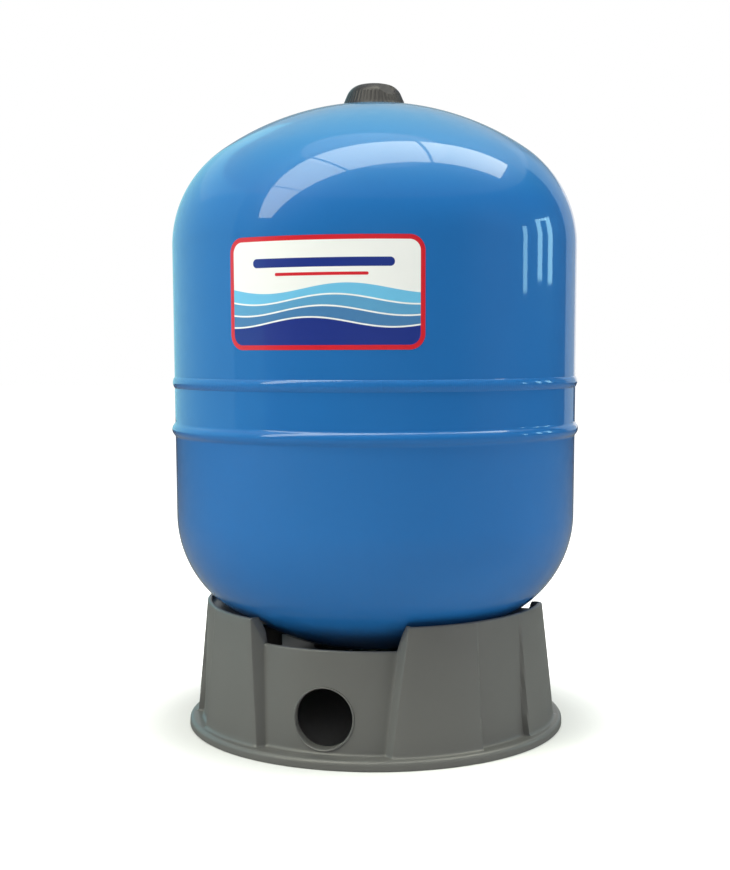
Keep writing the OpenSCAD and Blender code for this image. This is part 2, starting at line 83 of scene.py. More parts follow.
class ShellSizes(bpy.types.PropertyGroup):
    """Sizes of the steel shell"""
    radius: length("Radius", "Outside radius of the steel shell", SHELL[1].x)
    sheet: length("Sheet", "Sheet thickness of both shells", 0.002)
    straight: length("Straight length", "Straight length of each half shell", 0.134)
    knuckle: length("Knuckle radius", "Radius between the wall and a dome", 0.113)
    crown: length("Crown radius", "Radius of a dome's crown", 0.272)
    seam: length("Seam height", "Height of the girth seam above the floor", (WELD[1].z + WELD[0].z) / 2)
    bead_drop: length("Bead drop", "Distance of the rolled bead below the seam", 0.047)
    bead_width: length("Bead width", "Width of the rolled bead", 0.016)
    bead_height: length("Bead height", "How far the rolled bead stands proud", 0.0033)
    bead_fillet: length("Bead fillet", "Fillet radius at the foot of the rolled bead", 0.0038)
    weld_width: length("Weld width", "Width of the girth weld", 0.011)
    weld_height: length("Weld height", "How far the girth weld stands proud", 0.0019)
    steps: IntProperty(name="Steps", description="Faces round the shell", default=256, min=32, max=512)


class CapSizes(bpy.types.PropertyGroup):
    """Sizes of the cap over the air valve"""
    radius: length("Radius", "Radius of the cap at the dome", 0.0313)
    height: length("Height", "Height of the cap above the dome", 0.0196)
    shoulder: length("Shoulder", "Radius of the cap's shoulder", 0.0165)
    draft: angle("Draft", "Draft of the cap's side", 24)
    scoop: length("Scoop radius", "Radius of the two finger scoops", 0.0095)
    scoop_reach: length("Scoop reach", "Distance of a scoop's middle from the axis", 0.020)
    scoop_drop: length("Scoop drop", "Depth of a scoop's middle below the cap's top", 0.006)
    scoop_turn: angle("Scoop turn", "Turn of the scoops round the axis", 52)
    flutes: IntProperty(name="Flutes", description="Grip flutes round the cap", default=44, min=0)
    flute_depth: length("Flute depth", "Depth of a grip flute", 0.00035)


class StandSizes(bpy.types.PropertyGroup):
    """Sizes of the moulded stand"""
    radius: length("Radius", "Radius of the skirt's wall at the floor", 0.1863)
    draft: angle("Draft", "Draft of the skirt's wall", 5.5)
    wall: length("Wall", "Wall thickness of the stand", 0.004)
    height: length("Height", "Height of the stand", STAND[1].z)
    window_height: length("Window height", "Height of a window's rim", 0.1055)
    window_depth: length("Window depth", "Depth of a window at the floor", 0.0088)
    window_draft: angle("Window draft", "Draft of a window's wall", 7.5)
    window_half: length("Window half width", "Half width of a window at the floor", 0.066)
    side_angle: angle("Window side", "Angle of a window's side in plan", 40)
    side_lean: angle("Window lean", "Lean of a window's side", 10)
    grip_width: length("Grip width", "Width of a grip recess", 0.065)
    grip_depth: length("Grip depth", "Depth of a grip recess at the floor", 0.007)
    grip_draft: angle("Grip draft", "Draft of a grip recess's floor", 2.7)
    foot_radius: length("Foot radius", "Radius of the foot", STAND[1].x)
    foot_height: length("Foot height", "Height of the foot", 0.0095)
    foot_round: length("Foot rounding", "Radius of the foot's edge", 0.0045)
    hole: length("Pipe hole", "Radius of the pipe hole", 0.028)
    hole_height: length("Pipe hole height", "Height of the pipe hole's centre", 0.042)
    collar: length("Collar", "Length of the pipe hole's collar, inwards", 0.008)
    collar_wall: length("Collar wall", "Wall of the pipe hole's collar", 0.002)
    seat_drop: length("Seat drop", "Depth of the seats' top below the stand's top", 0.006)
    deck: length("Deck height", "Height of the deck's top", 0.078)
    deck_opening: length("Deck opening", "Radius of the deck's opening", 0.064)
    stud_circle: length("Stud circle", "Distance of the studs from the axis", 0.112)


class LabelSizes(bpy.types.PropertyGroup):
    """Sizes of the front label"""
    width: length("Width", "Width of the label along the wall", 0.186)
    height: length("Height", "Height of the label", LABEL[1].z - LABEL[0].z)
    corner: length("Corner", "Radius of the label's corners", 0.014)
    turn: angle("Turn", "Turn of the label from the front", 3)


class FinishColours(bpy.types.PropertyGroup):
    """Colours of the finishes"""
    shell: paint("Shell", "Blue powder coat", (0.015, 0.136, 0.415))
    stand: paint("Stand", "Grey moulded plastic", (0.126, 0.125, 0.122))
    cap: paint("Cap", "Black moulded plastic", (0.011, 0.009, 0.012))
    label_white: paint("Label white", "Ground of the label", (0.86, 0.86, 0.87))
    label_red: paint("Label red", "Border of the label", (0.62, 0.012, 0.025))
    label_navy: paint("Label navy", "Dark wave of the label", (0.012, 0.030, 0.230))
    label_sky: paint("Label sky", "Light wave of the label", (0.150, 0.500, 0.780))


def sizes(group):
    return getattr(bpy.context.scene, "tank_" + group)


# Mesh making

def mesh_object(name, points, faces, sharp=40.0):
    """A mesh object at the origin, with smooth faces and edges sharper than the angle kept crisp."""
    mesh = bpy.data.meshes.new(name)
    mesh.from_pydata([tuple(p) for p in points], [], faces)
    mesh.validate()
    obj = bpy.data.objects.new(name, mesh)
    bpy.context.scene.collection.objects.link(obj)
    mesh.shade_smooth()
    mesh.set_sharp_from_angle(angle=math.radians(sharp))
    return obj


def point_outwards(obj, merge=1e-6):
    """Merges doubles and turns every face outwards."""
    bm = bmesh.new()
    bm.from_mesh(obj.data)
    bmesh.ops.remove_doubles(bm, verts=bm.verts, dist=merge)
    bmesh.ops.recalc_face_normals(bm, faces=bm.faces)
    bm.to_mesh(obj.data)
    bm.free()


def ring_grid(rows, closed_rows=True, closed_turn=True):
    """Faces between the rows of a grid. rows[i][j] is vertex j of row i."""
    faces = []
    count = len(rows)
    for i in range(count if closed_turn else count - 1):
        a, b = rows[i], rows[(i + 1) % count]
        last = len(a) if closed_rows else len(a) - 1
        for j in range(last):
            k = (j + 1) % len(a)
            faces.append((a[j], a[k], b[k], b[j]))
    return faces


def turned(name, profile, steps, start=0.0, sweep=2 * math.pi, sharp=40.0, ripple=None):
    """A closed (radius, height) profile turned round the axis. Angle 0 faces -Y and grows towards +X."""
    whole = sweep > 6.28
    turns = [start + sweep * i / steps for i in range(steps if whole else steps + 1)]
    points, rows = [], []
    for turn in turns:
        rows.append(range(len(points), len(points) + len(profile)))
        for index, (r, z) in enumerate(profile):
            if ripple:
                r, z = ripple(r, z, turn, index)
            points.append((r * math.sin(turn), -r * math.cos(turn), z))
    faces = ring_grid(rows, closed_turn=whole)
    if not whole:
        faces.append(tuple(rows[0]))
        faces.append(tuple(reversed(rows[-1])))
    obj = mesh_object(name, points, faces, sharp)
    point_outwards(obj)
    obj.data.set_sharp_from_angle(angle=math.radians(sharp))
    return obj


def arc(centre, radius, first, last, count):
    """Points of an arc in a (radius, height) section, angles in degrees from the outward direction."""
    return [(centre[0] + radius * math.cos(math.radians(a)), centre[1] + radius * math.sin(math.radians(a)))
            for a in np.linspace(first, last, count)]


def applied(obj):
    """Turns an object with its modifiers into a plain mesh object at the origin."""
    graph = bpy.context.evaluated_depsgraph_get()
    mesh = bpy.data.meshes.new_from_object(obj.evaluated_get(graph))
    obj.modifiers.clear()
    old, obj.data = obj.data, mesh
    mesh.name = obj.name
    if not old.users:
        bpy.data.meshes.remove(old)
    return obj


def joined(name, parts):
    """One object from several, each already in place."""
    bm = bmesh.new()
    for part in parts:
        bm.from_mesh(part.data)
    mesh = bpy.data.meshes.new(name)
    bm.to_mesh(mesh)
    bm.free()
    for part in parts:
        bpy.data.objects.remove(part)
    obj = bpy.data.objects.new(name, mesh)
    bpy.context.scene.collection.objects.link(obj)
    return obj


def finish_piece(obj, body, slot, material, *nodes):
    """Gives a piece its finish, its body and the CAD nodes that it stands for."""
    obj.data.materials.clear()
    obj.data.materials.append(material)
    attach(obj, body)
    if nodes:
        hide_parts(*nodes)
    return obj


# Geometry Nodes trees

class Tree:
    """Small helper that builds a Geometry Nodes tree with named inputs."""

    def __init__(self, name):
        self.group = bpy.data.node_groups.new(name, "GeometryNodeTree")
        face = self.group.interface
        face.new_socket("Geometry", in_out="INPUT", socket_type="NodeSocketGeometry")
        face.new_socket("Geometry", in_out="OUTPUT", socket_type="NodeSocketGeometry")
        self.inputs = {}
        self.given = self.group.nodes.new("NodeGroupInput")
        self.result = self.group.nodes.new("NodeGroupOutput")

    def input(self, name, kind, default=None):
        socket = self.group.interface.new_socket(name, in_out="INPUT", socket_type="NodeSocket" + kind)
        if default is not None:
            socket.default_value = default
        self.inputs[name] = socket.identifier
        return name

    def node(self, kind, **settings):
        made = self.group.nodes.new(kind)
        for key, value in settings.items():
            setattr(made, key, value)
        return made

    def link(self, source, target):
        self.group.links.new(source, target)

    def maths(self, operation, *terms):
        made = self.node("ShaderNodeMath", operation=operation)
        for index, term in enumerate(terms):
            if hasattr(term, "is_output"):
                self.link(term, made.inputs[index])
            else:
                made.inputs[index].default_value = term
        return made.outputs[0]

    def out(self, geometry):
        realize = self.node("GeometryNodeRealizeInstances")
        coat = self.node("GeometryNodeSetMaterial")
        self.link(geometry, realize.inputs[0])
        self.link(realize.outputs[0], coat.inputs["Geometry"])
        self.link(self.given.outputs["Material"], coat.inputs["Material"])
        self.link(coat.outputs[0], self.result.inputs[0])

    def apply(self, obj, **values):
        """Runs the tree on an object and keeps the result as its plain mesh."""
        modifier = obj.modifiers.new(self.group.name, "NODES")
        modifier.node_group = self.group
        for name, value in values.items():
            modifier[self.inputs[name.replace("_", " ")]] = value
        return applied(obj)


def repeat_tree():
    """Copies of the object's own mesh, evenly round the axis."""
    tree = Tree("Pieces round the axis")
    tree.input("Count", "Int", 3)
    tree.input("First turn", "Float", 0.0)
    tree.input("Material", "Material")
    given = tree.given.outputs
    line = tree.node("GeometryNodeMeshLine")
    line.inputs["Offset"].default_value = (0, 0, 0)
    tree.link(given["Count"], line.inputs["Count"])
    index = tree.node("GeometryNodeInputIndex").outputs[0]
    step = tree.maths("DIVIDE", 2 * math.pi, given["Count"])
    turn = tree.maths("ADD", tree.maths("MULTIPLY", index, step), given["First turn"])
    rotation = tree.node("ShaderNodeCombineXYZ")
    tree.link(turn, rotation.inputs["Z"])
    copies = tree.node("GeometryNodeInstanceOnPoints")
    tree.link(line.outputs[0], copies.inputs["Points"])
    tree.link(given["Geometry"], copies.inputs["Instance"])
    tree.link(rotation.outputs[0], copies.inputs["Rotation"])
    tree.out(copies.outputs[0])
    return tree


def thread_tree():
    """The object's own mesh with a thread wound on it, between two heights."""
    tree = Tree("Thread on a pin")
    for name, default in (("Radius", 0.004), ("Depth", 0.0004), ("Low", 0.0), ("High", 0.01), ("Turns", 8.0)):
        tree.input(name, "Float", default)
    tree.input("Material", "Material")
    given = tree.given.outputs
    spiral = tree.node("GeometryNodeCurveSpiral")
    spiral.inputs["Resolution"].default_value = 32
    tree.link(given["Turns"], spiral.inputs["Rotations"])
    tree.link(given["Radius"], spiral.inputs["Start Radius"])
    tree.link(given["Radius"], spiral.inputs["End Radius"])
    tree.link(tree.maths("SUBTRACT", given["High"], given["Low"]), spiral.inputs["Height"])
    ridge = tree.node("GeometryNodeCurvePrimitiveCircle")
    ridge.inputs["Resolution"].default_value = 4
    tree.link(given["Depth"], ridge.inputs["Radius"])
    wound = tree.node("GeometryNodeCurveToMesh")
    wound.inputs["Fill Caps"].default_value = True
    tree.link(spiral.outputs[0], wound.inputs["Curve"])
    tree.link(ridge.outputs[0], wound.inputs["Profile Curve"])
    place = tree.node("ShaderNodeCombineXYZ")
    tree.link(given["Low"], place.inputs["Z"])
    lift = tree.node("GeometryNodeTransform")
    tree.link(wound.outputs[0], lift.inputs["Geometry"])
    tree.link(place.outputs[0], lift.inputs["Translation"])
    both = tree.node("GeometryNodeJoinGeometry")
    tree.link(given["Geometry"], both.inputs[0])
    tree.link(lift.outputs[0], both.inputs[0])
    tree.out(both.outputs[0])
    return tree


# Materials

class Finish:
    """Small helper that builds a node material round one Principled shader."""

    def __init__(self, name, **settings):
        self.material = bpy.data.materials.new(name)
        self.material.use_nodes = True
        self.tree = self.material.node_tree
        self.shader = next(n for n in self.tree.nodes if n.type == "BSDF_PRINCIPLED")
        for key, value in settings.items():
            self.shader.inputs[key.replace("_", " ")].default_value = value
        self.place = self.node("ShaderNodeTexCoord").outputs["Object"]

    def node(self, kind, **settings):
        made = self.tree.nodes.new(kind)
        for key, value in settings.items():
            setattr(made, key, value)
        return made

    def link(self, source, target):
        self.tree.links.new(source, target)

    def maths(self, operation, *terms, clamp=False):
        made = self.node("ShaderNodeMath", operation=operation, use_clamp=clamp)
        for index, term in enumerate(terms):
            if hasattr(term, "is_output"):
                self.link(term, made.inputs[index])
            else:
                made.inputs[index].default_value = term
        return made.outputs[0]

    def noise(self, scale, detail=2.0, roughness=0.5, source=None):
        made = self.node("ShaderNodeTexNoise")
        made.inputs["Scale"].default_value = scale
        made.inputs["Detail"].default_value = detail
        made.inputs["Roughness"].default_value = roughness
        self.link(source or self.place, made.inputs["Vector"])
        return made.outputs["Fac"]

    def ramp(self, value, low, high, out_low=0.0, out_high=1.0):
        made = self.node("ShaderNodeMapRange")
        for name, number in (("From Min", low), ("From Max", high), ("To Min", out_low), ("To Max", out_high)):
            made.inputs[name].default_value = number
        self.link(value, made.inputs["Value"])
        return made.outputs["Result"]

    def mixed(self, share, first, second):
        made = self.node("ShaderNodeMix", data_type="RGBA")
        for name, term in (("Factor", share), ("A", first), ("B", second)):
            socket = next(s for s in made.inputs if s.name == name and s.type == ("VALUE" if name == "Factor" else "RGBA"))
            if hasattr(term, "is_output"):
                self.link(term, socket)
            else:
                socket.default_value = term if name == "Factor" else (*term[:3], 1.0)
        return next(s for s in made.outputs if s.type == "RGBA")

    def colour(self, socket):
        self.link(socket, self.shader.inputs["Base Color"])

    def bump(self, height, distance, strength=1.0):
        made = self.node("ShaderNodeBump")
        made.inputs["Strength"].default_value = strength
        made.inputs["Distance"].default_value = distance
        self.link(height, made.inputs["Height"])
        self.link(made.outputs[0], self.shader.inputs["Normal"])
        return made

    def axis(self, letter):
        parts = self.node("ShaderNodeSeparateXYZ")
        self.link(self.place, parts.inputs[0])
        return parts.outputs[letter]


def tone(colour, factor):
    return tuple(min(1.0, c * factor) for c in colour)


def shell_paint(weld=False):
    """Glossy blue powder coat with its fine orange peel; on a weld it follows the weld's ripples."""
    colour = tuple(sizes("finish").shell)
    finish = Finish("blue powder coat on weld" if weld else "blue powder coat", Roughness=0.36, Coat_Weight=1.0,
                    Coat_Roughness=0.04, Coat_IOR=1.45, Specular_IOR_Level=0.12)
    cloud = finish.noise(9.0, 3.0)
    coat = finish.mixed(cloud, tone(colour, 0.96), tone(colour, 1.05))
    # Painted light: lighter and greener on top of the dome, where the overhead light falls
    painted_top_light = (colour[0] * 1.15, colour[1] * 1.40, colour[2])
    finish.colour(finish.mixed(finish.ramp(finish.axis("Z"), 0.52, 0.61), coat, painted_top_light))
    peel = finish.noise(420.0, 2.0)
    finish.link(finish.ramp(finish.noise(60.0, 2.0), 0.3, 0.7, 0.33, 0.39), finish.shader.inputs["Roughness"])
    height = peel
    distance = 0.00004
    if weld:
        turn = finish.maths("ARCTAN2", finish.axis("Y"), finish.axis("X"))
        wobble = finish.maths("MULTIPLY", finish.noise(160.0, 2.0), 2.2)
        ripple = finish.maths("SINE", finish.maths("ADD", finish.maths("MULTIPLY", turn, 620.0), wobble))
        height = finish.maths("ADD", finish.maths("MULTIPLY", ripple, 0.6), peel)
        distance = 0.00009
    finish.bump(height, distance)
    return finish.material


def moulded_plastic(name, colour, roughness, grain=1400.0, depth=0.00005, spread=0.06, gloss=0.5):
    """Satin moulded plastic with a fine texture and slight flow clouds."""
    finish = Finish(name, Roughness=roughness, Specular_IOR_Level=gloss)
    cloud = finish.noise(14.0, 4.0, 0.6)
    finish.colour(finish.mixed(cloud, tone(colour, 1 - spread), tone(colour, 1 + spread)))
    fine = finish.noise(grain, 2.0, 0.6)
    finish.link(finish.ramp(fine, 0.2, 0.8, roughness - 0.05, roughness + 0.08), finish.shader.inputs["Roughness"])
    finish.bump(fine, depth)
    return finish.material


def turned_metal(name, colour, roughness, lines=2600.0, depth=0.000012):
    """Turned or drawn metal with fine tool lines round the axis."""
    finish = Finish(name, Metallic=1.0, Roughness=roughness)
    stretch = finish.node("ShaderNodeMapping")
    stretch.inputs["Scale"].default_value = (0.05, 0.05, 1.0)
    finish.link(finish.place, stretch.inputs["Vector"])
    tool = finish.noise(lines, 2.0, 0.5, stretch.outputs[0])
    patina = finish.noise(120.0, 3.0)
    finish.colour(finish.mixed(patina, tone(colour, 0.88), tone(colour, 1.06)))
    finish.link(finish.ramp(tool, 0.2, 0.8, roughness - 0.06, roughness + 0.1), finish.shader.inputs["Roughness"])
    finish.bump(tool, depth)
    return finish.material


def rubber(name, colour):
    """Matt rubber with a dusty bloom."""
    finish = Finish(name, Roughness=0.75)
    bloom = finish.noise(90.0, 4.0, 0.6)
    finish.colour(finish.mixed(bloom, colour, tone(colour, 1.6)))
    finish.bump(finish.noise(900.0, 2.0), 0.00005)
    return finish.material


def printed_film():
    """Printed label film: white ground, red border and three blue waves, drawn on the label's own UV map in metres."""
    look = sizes("finish")
    label = sizes("label")
    finish = Finish("printed film", Roughness=0.3, Coat_Weight=0.6, Coat_Roughness=0.06)
    uv = finish.node("ShaderNodeUVMap", uv_map="label")
    parts = finish.node("ShaderNodeSeparateXYZ")
    finish.link(uv.outputs[0], parts.inputs[0])
    across, up = parts.outputs["X"], parts.outputs["Y"]

    def rounded_distance(width, height, corner, lift=0.0):
        """Distance outside a rounded rectangle centred on the label."""
        dx = finish.maths("SUBTRACT", finish.maths("ABSOLUTE", across), width / 2 - corner)
        raised = finish.maths("SUBTRACT", up, lift)
        dy = finish.maths("SUBTRACT", finish.maths("ABSOLUTE", raised), height / 2 - corner)
        ox = finish.maths("MAXIMUM", dx, 0.0)
        oy = finish.maths("MAXIMUM", dy, 0.0)
        out = finish.maths("SQRT", finish.maths("ADD", finish.maths("MULTIPLY", ox, ox), finish.maths("MULTIPLY", oy, oy)))
        inside = finish.maths("MINIMUM", finish.maths("MAXIMUM", dx, dy), 0.0)
        return finish.maths("SUBTRACT", finish.maths("ADD", out, inside), corner)

    def step(value, edge):
        """1 above the edge, with a soft line of a fifth of a millimetre."""
        return finish.ramp(value, edge - 0.0001, edge + 0.0001)

    def wave(height, swing, length_, phase):
        bend = finish.maths("SINE", finish.maths("ADD", finish.maths("MULTIPLY", across, 2 * math.pi / length_), phase))
        crest = finish.maths("ADD", finish.maths("MULTIPLY", bend, swing), height)
        return finish.maths("SUBTRACT", crest, up)

    white, red = tuple(look.label_white), tuple(look.label_red)
    navy, sky = tuple(look.label_navy), tuple(look.label_sky)
    colour = finish.mixed(step(wave(0.004, 0.0045, 0.150, 0.6), 0.0), white, sky)
    for height, share in ((-0.006, 0.35), (-0.016, 0.65), (-0.026, 1.0)):
        blue = tuple(s + (n - s) * share for s, n in zip(sky, navy))
        colour = finish.mixed(step(wave(height, 0.0045, 0.150, 0.6 + share * 1.4), 0.0), colour, blue)
        line = finish.maths("ABSOLUTE", wave(height + 0.0004, 0.0045, 0.150, 0.6 + share * 1.4))
        colour = finish.mixed(step(line, 0.0007), white, colour)
    edge = rounded_distance(label.width, label.height, label.corner)
    colour = finish.mixed(step(edge, -0.0042), colour, red)
    for low, high, left, right in ((0.0225, 0.0305, -0.066, 0.066), (0.0150, 0.0178, -0.066, 0.020)):
        bar = rounded_distance(right - left, high - low, (high - low) / 2 - 0.0001, (low + high) / 2)
        colour = finish.mixed(step(bar, 0.0), navy if high - low > 0.005 else red, colour)
    finish.colour(colour)
    finish.bump(finish.noise(500.0, 2.0), 0.00002)
    return finish.material


FINISHES = {}


def finish_for(name):
    """The finish of that name, made on its first use."""
    if name not in FINISHES:
        look = sizes("finish")
        FINISHES[name] = {
            "shell": lambda: shell_paint(),
            "weld": lambda: shell_paint(weld=True),
            "stand": lambda: moulded_plastic("grey moulded plastic", tuple(look.stand), 0.36),
            "cap": lambda: moulded_plastic("black moulded plastic", tuple(look.cap), 0.40, 1900.0, 0.00003, gloss=0.42),
            "liner": lambda: moulded_plastic("natural polypropylene", (0.75, 0.76, 0.76), 0.35),
            "brass": lambda: turned_metal("turned brass", (0.72, 0.50, 0.20), 0.24),
            "zinc": lambda: turned_metal("zinc plating", (0.62, 0.64, 0.66), 0.34),
            "stainless": lambda: turned_metal("turned stainless steel", (0.60, 0.60, 0.60), 0.28),
            "steel": lambda: turned_metal("plain steel", (0.36, 0.36, 0.37), 0.45),
            "rubber": lambda: rubber("black rubber", (0.018, 0.018, 0.019)),
            "film": lambda: printed_film(),
        }[name]()
    return FINISHES[name]


# Sections of the tank

def dome_section(inset, hole, count=44):
    """Points of a half shell above its seam, from the hole at the pole out to the wall and down to the seam."""
    shell = sizes("shell")
    reach = shell.radius - shell.knuckle
    back = math.sqrt((shell.crown - shell.knuckle) ** 2 - reach ** 2)
    meet = math.degrees(math.atan2(back, reach))
    crown = shell.crown - inset
    first = math.degrees(math.acos(hole / crown))
    points = arc((0, shell.straight - back), crown, first, meet, count)
    points += arc((reach, shell.straight), shell.knuckle - inset, meet, 0, count)[1:]
    return points + [(shell.radius - inset, 0.0)]


def dome_rise(r):
    """Height of a dome's outer surface above its pole, at distance r from the axis."""
    shell = sizes("shell")
    reach = shell.radius - shell.knuckle
    back = math.sqrt((shell.crown - shell.knuckle) ** 2 - reach ** 2)
    if r < shell.crown * reach / (shell.crown - shell.knuckle):
        return shell.crown - math.sqrt(shell.crown ** 2 - r * r)
    return shell.crown - back - math.sqrt(max(0.0, shell.knuckle ** 2 - (r - reach) ** 2))


def pole_height():
    """Height of the lower dome's pole above the floor."""
    shell = sizes("shell")
    reach = shell.radius - shell.knuckle
    return shell.seam - shell.straight - shell.crown + math.sqrt((shell.crown - shell.knuckle) ** 2 - reach ** 2)


def bead_section(inset):
    """Points down over the rolled bead, moved inwards by inset."""
    shell = sizes("shell")
    middle = shell.seam - shell.bead_drop
    half = shell.bead_width / 2
    slope = 2 * math.degrees(math.atan2(shell.bead_height, half))
    crest = half / math.sin(math.radians(slope)) - shell.bead_fillet
    points = arc((shell.radius + shell.bead_fillet, middle + half), shell.bead_fillet + inset, 180, 180 + slope, 7)
    points += arc((shell.radius + shell.bead_height - crest, middle), crest - inset, slope, -slope, 17)
    points += arc((shell.radius + shell.bead_fillet, middle - half), shell.bead_fillet + inset, 180 - slope, 180, 7)
    return points


class TANK_OT_shells(bpy.types.Operator):
    """Build both half shells and the girth weld between them"""
    bl_idname = "tank.shells"
    bl_label = "Shells"

    def execute(self, context):
        shell = sizes("shell")
        coat = finish_for("shell")
        bore = 0.0075
        outside = [(r, shell.seam + z) for r, z in dome_section(0, bore)]
        inside = [(r, shell.seam + z) for r, z in dome_section(shell.sheet, bore)]
        upper = turned("upper_shell_skin", outside + inside[::-1], shell.steps)
        finish_piece(upper, "root", "shell_paint", coat, "upper_shell")

        bore = 0.01675
        joggle = 0.003
        outside = [(shell.radius, shell.seam - joggle), (shell.radius, shell.seam - joggle - 0.0004)] + bead_section(0)
        outside += [(r, shell.seam - z) for r, z in dome_section(0, bore)[::-1][1:]]
        inside = [(r, shell.seam - z) for r, z in dome_section(shell.sheet, bore)[:-1]]
        inside += bead_section(shell.sheet)[::-1]
        step = shell.radius - shell.sheet
        lap = [(step - shell.sheet, shell.seam - joggle), (step - shell.sheet, shell.seam + 0.010),
               (step - 0.0002, shell.seam + 0.010), (step - 0.0002, shell.seam)]
        lower = turned("lower_shell_skin", outside + inside + lap, shell.steps)
        finish_piece(lower, "root", "shell_paint", coat, "lower_shell")

        half = shell.weld_width / 2
        crest = (half ** 2 + shell.weld_height ** 2) / (2 * shell.weld_height)
        reach = math.degrees(math.asin(half / crest))
        bead = arc((shell.radius + shell.weld_height - crest, shell.seam), crest, reach, -reach, 15)
        bead += [(shell.radius - 0.0005, shell.seam - half), (shell.radius - 0.0005, shell.seam + half)]
        weld = turned("girth_weld_bead", bead, shell.steps)
        finish_piece(weld, "root", "shell_paint", finish_for("weld"), "girth_weld")
        return {"FINISHED"}


class TANK_OT_cap(bpy.types.Operator):
    """Build the push-on cap over the air valve"""
    bl_idname = "tank.cap"
    bl_label = "Protective cap"

    def execute(self, context):
        cap = sizes("cap")
        dome = SHELL[1].z
        top = CAP[1].z
        draft = cap.draft
        side_height = cap.height - cap.shoulder * (1 - math.sin(draft))
        middle = (cap.radius - side_height * math.tan(draft) - cap.shoulder * math.cos(draft), top - cap.shoulder)
        touch = (middle[0] + cap.shoulder * math.cos(draft), middle[1] + cap.shoulder * math.sin(draft))
        low = top - cap.height - dome_rise(cap.radius) + 0.0004
        foot = (touch[0] + (touch[1] - low) * math.tan(draft), low)
        side = [(foot[0] + (touch[0] - foot[0]) * i / 24, foot[1] + (touch[1] - foot[1]) * i / 24) for i in range(25)]
        outside = side + arc(middle, cap.shoulder, math.degrees(draft), 90, 40)[1:]
        outside += [(middle[0] * (1 - i / 12), top) for i in range(1, 12)] + [(0.0004, top)]
        wall = 0.002
        inside = [(0.0004, top - wall), (0.0130, top - wall), (0.0260, top - 0.0150), (foot[0] - wall, foot[1] + 0.0003)]
        count = len(outside)

        def shaped(r, z, turn, index):
            """Grip flutes on the side, flat scoops in the shoulder."""
            if index >= count:
                return r, z
            level = (z - foot[1]) / (touch[1] - foot[1])
            fade = max(0.0, min(1.0, level * 5, (1.25 - level) * 4))
            r -= cap.flute_depth * fade * (0.5 - 0.5 * math.cos(turn * cap.flutes)) ** 2
            for extra in (0.0, math.pi):
                away = turn - cap.scoop_turn - extra
                x, y = r * math.sin(away), r * math.cos(away) - cap.scoop_reach
                drop = z - (top - cap.scoop_drop)
                proud = (y + drop) / math.sqrt(2)
                along = (y - drop) / math.sqrt(2)
                off = math.hypot(x, along)
                share = max(0.0, min(1.0, (cap.scoop + 0.0004 - off) / 0.0008))
                share = share * share * (3 - 2 * share)
                if proud > 0 and share > 0:
                    y -= proud * share / math.sqrt(2)
                    z -= proud * share / math.sqrt(2)
                    r = math.hypot(x, y + cap.scoop_reach)
            return r, z

        skin = turned("cap_moulding", outside + inside, 528, ripple=shaped, sharp=35)
        finish_piece(skin, "cap", "cap_plastic", finish_for("cap"), "protective_cap")
        return {"FINISHED"}


def smooth_min(a, b, soft):
    h = np.clip(0.5 + 0.5 * (b - a) / soft, 0, 1)
    return b + (a - b) * h - soft * h * (1 - h)


def smooth_max(a, b, soft):
    return -smooth_min(-a, -b, soft)


def window_wall(z):
    """Radius of a window's wall at a height."""
    stand = sizes("stand")
    return stand.radius - stand.window_depth - z * math.tan(stand.window_draft)


def stand_wall(turn, z, inset):
    """Radius of the stand's wall at a turn from the front and a height, moved inwards by inset."""
    stand = sizes("stand")
    third = 2 * math.pi / 3
    away = np.abs((turn + third / 2) % third - third / 2)
    cone = stand.radius - z * math.tan(stand.draft) - inset
    beside = math.pi / 2 - stand.side_angle
    corner = math.sqrt(stand.radius ** 2 - stand.window_half ** 2)
    plane = math.sin(beside) * corner - math.cos(beside) * stand.window_half
    plane = plane - z * math.tan(stand.side_lean) - inset / math.cos(stand.side_lean)
    side = np.where(away < beside - 0.02, plane / np.sin(np.maximum(beside - away, 0.02)), 9.0)
    wall = smooth_min(cone, smooth_max(window_wall(z) - inset, side, 0.0022), 0.0022)
    grip = third / 2 - away
    floor = stand.grip_depth - z * (math.tan(stand.draft) - math.tan(stand.grip_draft))
    edge = (stand.grip_width / 2 + inset - stand.radius * np.sin(np.minimum(grip, 1.2))) / 0.0022 + 0.5
    share = np.clip(edge, 0, 1)
    share = share * share * (3 - 2 * share)
    return wall - np.maximum(floor, 0) * share


def window_turns(z):
    """Turns of a window side's inner and outer corner at a height."""
    stand = sizes("stand")
    beside = math.pi / 2 - stand.side_angle
    corner = math.sqrt(stand.radius ** 2 - stand.window_half ** 2)
    plane = math.sin(beside) * corner - math.cos(beside) * stand.window_half - z * math.tan(stand.side_lean)
    cone = stand.radius - z * math.tan(stand.draft)
    return (beside - np.arcsin(plane / window_wall(z)), beside - np.arcsin(plane / cone))


